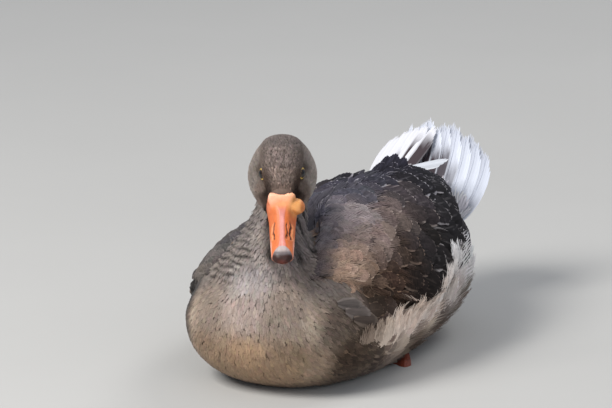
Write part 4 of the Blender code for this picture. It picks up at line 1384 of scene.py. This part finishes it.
class GOOSE_OT_bill(bpy.types.Operator):
    """Shape the bill with its ridge and its painted highlight, creases darkened with painted shade, nail,
    edges and knob
    """

    bl_idname = "goose.bill"
    bl_label = "Bill"

    def execute(self, context):
        wax = bill_finish()
        horn = tuple(context.scene.goose_colours.bill)
        for name, nodes in (("bill_top", ("bill_upper", "bill_knob")), ("bill_under", ("bill_lower",))):
            bm = remeshed(solids(nodes, 0.25 * MM), 0.6 * MM, 7)
            points = seen_from_head(v.co / CM for v in bm.verts)
            turned = HEAD_FRAME.inverted().to_3x3()
            normals = np.array([turned @ v.normal for v in bm.verts])
            move, colour = bill_marks(points, normals, horn, name == "bill_top")
            layer = bm.verts.layers.float_color.new("bill")
            for number, vertex in enumerate(bm.verts):
                vertex.co += vertex.normal * float(move[number]) * MM
                vertex[layer] = (*colour[number], 1)
            piece = from_bmesh(name, bm)
            piece.data.materials.append(wax)
            finish_piece(piece, "bill_horn", *nodes, smooth=True)
        return {"FINISHED"}


def bill_marks(points, normals, horn, top):
    """How far each point of the bill moves out, in millimetres, and its colour.

    The points are in the head's own frame, in centimetres: x across, f forward and u up."""
    x, f, u = points[:, 0], -points[:, 1], points[:, 2]
    move = np.zeros(len(x))
    colour = np.tile(np.array(horn), (len(x), 1))

    def lay(over, share):
        colour[:] = colour * (1 - share[:, None]) + np.array(tint(*over)) * share[:, None]

    lay((176, 86, 46), rise(np.abs(x), 0.8, 1.5) * 0.6)
    if not top:
        lay((204, 100, 42), np.full(len(x), 0.4))
        return move, colour
    upward = rise(normals[:, 2], 0.2, 0.7)
    tips = 1 - rise(f, 8.5, 8.9)
    lay((196, 96, 34), bump_at(np.abs(x), 0.42, 0.16) * rise(f, 4.6, 5.6) * tips * upward * 0.6)
    half = 0.24 + 0.16 * rise(f, 7.2, 8.4) + 0.58 * rise(5.6 - f, 0, 2.4) ** 2
    culmen = (1 - rise(np.abs(x), half * 0.75, half * 1.2)) * upward * tips
    lay((200, 124, 112), culmen * rise(f, 3.8, 4.6))
    # painted highlight: a paler line along the top of the ridge
    lay((216, 154, 146), culmen * bump_at(x, 0.0, 0.10) * rise(f, 4.4, 5.4) * 0.8)
    move += 0.45 * culmen * rise(f, 3.8, 4.6)
    base = (1 - rise(f, 3.5, 4.3)) * upward
    lay((255, 182, 150), base * 0.95)
    move += 2.4 * (1 - rise(f, 3.0, 4.2)) * upward * (1 - rise(np.abs(x), 0.9, 1.3))
    hollow = bump_at(x, 0.0, 0.7) * bump_at(f, 3.95, 0.45) * upward
    # painted shade: the dent at the edge of the bill's pale base is given a darker orange
    lay((238, 150, 92), hollow * 0.6)
    move -= 0.9 * hollow
    corner = bump_at(np.abs(x), 1.02, 0.34) * bump_at(f, 3.2, 0.36)
    move += 1.5 * corner
    lay((255, 190, 160), corner * upward * 0.7)
    flank = bump_at(np.abs(x), 1.0, 0.3) * bump_at(f, 4.8, 0.6)
    move -= 0.8 * flank
    knob = bump_at(np.sqrt((x - 1.38) ** 2 + (f - 3.65) ** 2 + (u + 0.6) ** 2), 0.0, 0.95) ** 0.5
    lay((206, 144, 84), rise(knob, 0.25, 0.85))
    lay((176, 84, 40), rise(knob, 0.3, 0.9) * rise(x, 1.6, 2.0) * 0.7)
    move += knob * (0.5 * np.sin(3.1 * f + 4.0 * u) - 0.9 * rise(x, 1.7, 2.1) + 0.3 * np.sin(9 * u + 5 * x))
    move += 1.3 * bump_at(np.sqrt((x - 1.0) ** 2 + (f - 3.9) ** 2), 0.0, 0.4) * upward
    for side in (-1, 1):
        lane = 0.80 + 0.05 * np.sin(f * 4.4 + side) + 0.02 * np.sin(f * 11)
        reach = rise(f, 5.3, 5.7) * (1 - rise(f, 7.0, 7.3)) * upward
        slit = bump_at(side * x, lane, 0.05 + 0.02 * (side > 0)) * reach
        move -= 1.6 * slit
        # painted shade: the slit dents are near black, for their depth
        lay((52, 24, 18), np.clip(slit * 1.6, 0, 1))
        move += 0.5 * bump_at(side * x, lane + 0.17, 0.09) * reach
        lay((250, 176, 120), bump_at(side * x, lane + 0.17, 0.08) * reach * 0.5)
    patchy_shade = 0.5 + 0.5 * np.sin(f * 13 + 1.5 * np.sin(x * 30))
    inner = bump_at(x, 0.48 + 0.05 * np.sin(f * 5), 0.05 + 0.06 * rise(f, 6.2, 7.0))
    inner *= rise(f, 5.5, 5.9) * (1 - rise(f, 7.1, 7.4)) * upward
    move -= 1.2 * inner
    # painted shade: the grooves beside the ridge are darkened in patches
    lay((60, 28, 22), np.clip(inner * (0.5 + patchy_shade), 0, 1))
    edge = rise(np.abs(x), 0.92, 1.15) * rise(f, 6.4, 8.0)
    lay((250, 196, 182), edge * 0.85)
    shape = (x / 0.98) ** 2 + ((f - 9.05) / 1.0) ** 2
    nail = (1 - rise(shape, 0.75, 1.1)) * rise(normals[:, 2] + 0.6 * rise(f, 9.2, 9.6), 0.0, 0.4)
    groove = bump_at(shape, 0.95, 0.18) * upward
    move += 0.6 * nail - 0.4 * groove
    arc = f + 0.35 * x * x
    lay((170, 156, 154), nail)
    lay((100, 92, 94), nail * rise(arc, 8.55, 8.95))
    lay((50, 26, 22), nail * rise(arc, 8.95, 9.25))
    lay((90, 38, 26), nail * rise(f, 9.35, 9.7) * 0.8)
    return move, colour


def bump_at(value, middle, width):
    """A smooth hill of height 1 round the middle."""
    return np.exp(-(((value - middle) / width) ** 2))


class GOOSE_OT_eyes(bpy.types.Operator):
    """Set both eyes in their bare rings"""

    bl_idname = "goose.eyes"
    bl_label = "Eyes"

    def execute(self, context):
        colours = context.scene.goose_colours
        wet, ring_skin = eye_finish(colours.irises), lid_finish(colours.eye_rings)
        for name, side in SIDES.items():
            place = Matrix.Scale(CM, 4) @ HEAD_FRAME @ Matrix.Translation((side * EYE_SPREAD, 0, EYE_HEIGHT))
            bm = bmesh.new()
            bmesh.ops.create_uvsphere(bm, u_segments=32, v_segments=24, radius=EYE_RADIUS)
            layer = bm.verts.layers.float.new("gaze")
            gaze = Vector((side, -0.32, 0.14)).normalized()
            for vertex in bm.verts:
                facing = vertex.co.normalized().dot(gaze)
                vertex[layer] = max(0.0, facing)
                vertex.co *= 1 + 0.06 * max(0.0, facing - 0.75) / 0.25
            bm.transform(place)
            eye = from_bmesh("eye_ball_" + name, bm)
            eye.data.materials.append(wet)
            finish_piece(eye, "eye", "eye_" + name, smooth=True)
            self.ring(name, side, gaze, place, ring_skin)
        return {"FINISHED"}

    def ring(self, name, side, gaze, place, material):
        """The lids: a bare ring, turned to face the way the eye looks."""
        radius, thickness, out = 0.50, 0.06, 0.37
        bm = bmesh.new()
        circle = bmesh.ops.create_circle(bm, segments=10, radius=thickness)
        bmesh.ops.rotate(bm, verts=circle["verts"], matrix=Matrix.Rotation(math.pi / 2, 3, "X"))
        bmesh.ops.translate(bm, verts=circle["verts"], vec=(radius, 0, 0))
        bmesh.ops.spin(
            bm, geom=bm.verts[:] + bm.edges[:], cent=(0, 0, 0), axis=(0, 0, 1), angle=2 * math.pi,
            steps=48, use_merge=True,
        )
        bmesh.ops.remove_doubles(bm, verts=bm.verts, dist=0.001)
        bmesh.ops.recalc_face_normals(bm, faces=bm.faces)
        turn = gaze.to_track_quat("Z", "Y").to_matrix().to_4x4()
        for vertex in bm.verts:
            vertex.co.z += out
        bm.transform(place @ turn)
        piece = from_bmesh("eye_ring_" + name, bm)
        piece.data.materials.append(material)
        finish_piece(piece, "bill_horn", smooth=True)


class GOOSE_OT_feet(bpy.types.Operator):
    """Give the tucked legs and webbed feet their scaly skin"""

    bl_idname = "goose.feet"
    bl_label = "Feet"

    def execute(self, context):
        scales = foot_finish(context.scene.goose_colours.feet)
        for part in ("leg_left", "leg_right", "foot_left", "foot_right"):
            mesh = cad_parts[part].data
            mesh.materials.clear()
            mesh.materials.append(scales)
        return {"FINISHED"}


class GOOSE_OT_stage(bpy.types.Operator):
    """Set up the floor, the soft studio lights and the camera"""

    bl_idname = "goose.stage"
    bl_label = "Stage"

    def execute(self, context):
        sizes = context.scene.goose_stage
        bm = bmesh.new()
        bmesh.ops.create_grid(bm, x_segments=8, y_segments=8, size=15)
        floor = from_bmesh("floor", bm)
        floor.data.materials.append(floor_finish())
        aim = Vector(sizes.aim)
        self.light("key", aim, (-1.3, -2.3, 2.6), 1.6, 168, (1.0, 0.97, 0.93))
        self.light("fill", aim, (2.2, -2.4, 1.2), 2.4, 30, (0.95, 0.97, 1.0))
        self.light("rear", aim, (0.9, 2.2, 2.6), 1.4, 38, (1.0, 0.98, 0.96))
        context.scene.view_settings.view_transform = "Standard"
        world = bpy.data.worlds.new("studio")
        world.use_nodes = True
        world.node_tree.nodes["Background"].inputs["Color"].default_value = (0.85, 0.9, 1.0, 1)
        world.node_tree.nodes["Background"].inputs["Strength"].default_value = 0.4
        context.scene.world = world
        camera_data = bpy.data.cameras.new("camera")
        camera_data.lens = sizes.lens
        camera_data.clip_end = 100
        camera = bpy.data.objects.new("camera", camera_data)
        flat = math.cos(sizes.elevation)
        back = Vector(
            (math.sin(sizes.azimuth) * flat, -math.cos(sizes.azimuth) * flat, math.sin(sizes.elevation))
        )
        camera.location = aim + back * sizes.distance
        camera.rotation_euler = (-back).to_track_quat("-Z", "Y").to_euler()
        context.scene.collection.objects.link(camera)
        context.scene.camera = camera
        return {"FINISHED"}

    def light(self, name, aim, offset, size, power, colour):
        data = bpy.data.lights.new(name, "AREA")
        data.size = size
        data.energy = power
        data.color = colour
        lamp = bpy.data.objects.new(name, data)
        lamp.location = aim + Vector(offset)
        lamp.rotation_euler = (-Vector(offset)).to_track_quat("-Z", "Y").to_euler()
        bpy.context.scene.collection.objects.link(lamp)


OPERATORS = (
    GOOSE_OT_stage,
    GOOSE_OT_skin,
    GOOSE_OT_small_plumage,
    GOOSE_OT_wing_plumage,
    GOOSE_OT_tail,
    GOOSE_OT_bill,
    GOOSE_OT_eyes,
    GOOSE_OT_feet,
)
GROUPS = {
    "goose_coat": GooseCoat,
    "goose_tail": GooseTail,
    "goose_colours": GooseColours,
    "goose_stage": GooseStage,
}


class GOOSE_PT_sidebar(bpy.types.Panel):
    """Lists the goose's sizes and the steps that build it"""

    bl_idname = "GOOSE_PT_sidebar"
    bl_label = "Goose"
    bl_space_type = "VIEW_3D"
    bl_region_type = "UI"
    bl_category = "Goose"

    def draw(self, context):
        for group, kind in GROUPS.items():
            box = self.layout.box()
            for prop in kind.__annotations__:
                box.prop(getattr(context.scene, group), prop)
        for operator in OPERATORS:
            self.layout.operator(operator.bl_idname)


def register():
    for kind in (*GROUPS.values(), *OPERATORS, GOOSE_PT_sidebar):
        bpy.utils.register_class(kind)
    for name, kind in GROUPS.items():
        setattr(bpy.types.Scene, name, bpy.props.PointerProperty(type=kind))


def unregister():
    for name in GROUPS:
        delattr(bpy.types.Scene, name)
    for kind in reversed((*GROUPS.values(), *OPERATORS, GOOSE_PT_sidebar)):
        bpy.utils.unregister_class(kind)


def main():
    register()
    for operator in OPERATORS:
        group, name = operator.bl_idname.split(".")
        getattr(getattr(bpy.ops, group), name)()


if __name__ == "__main__":
    main()
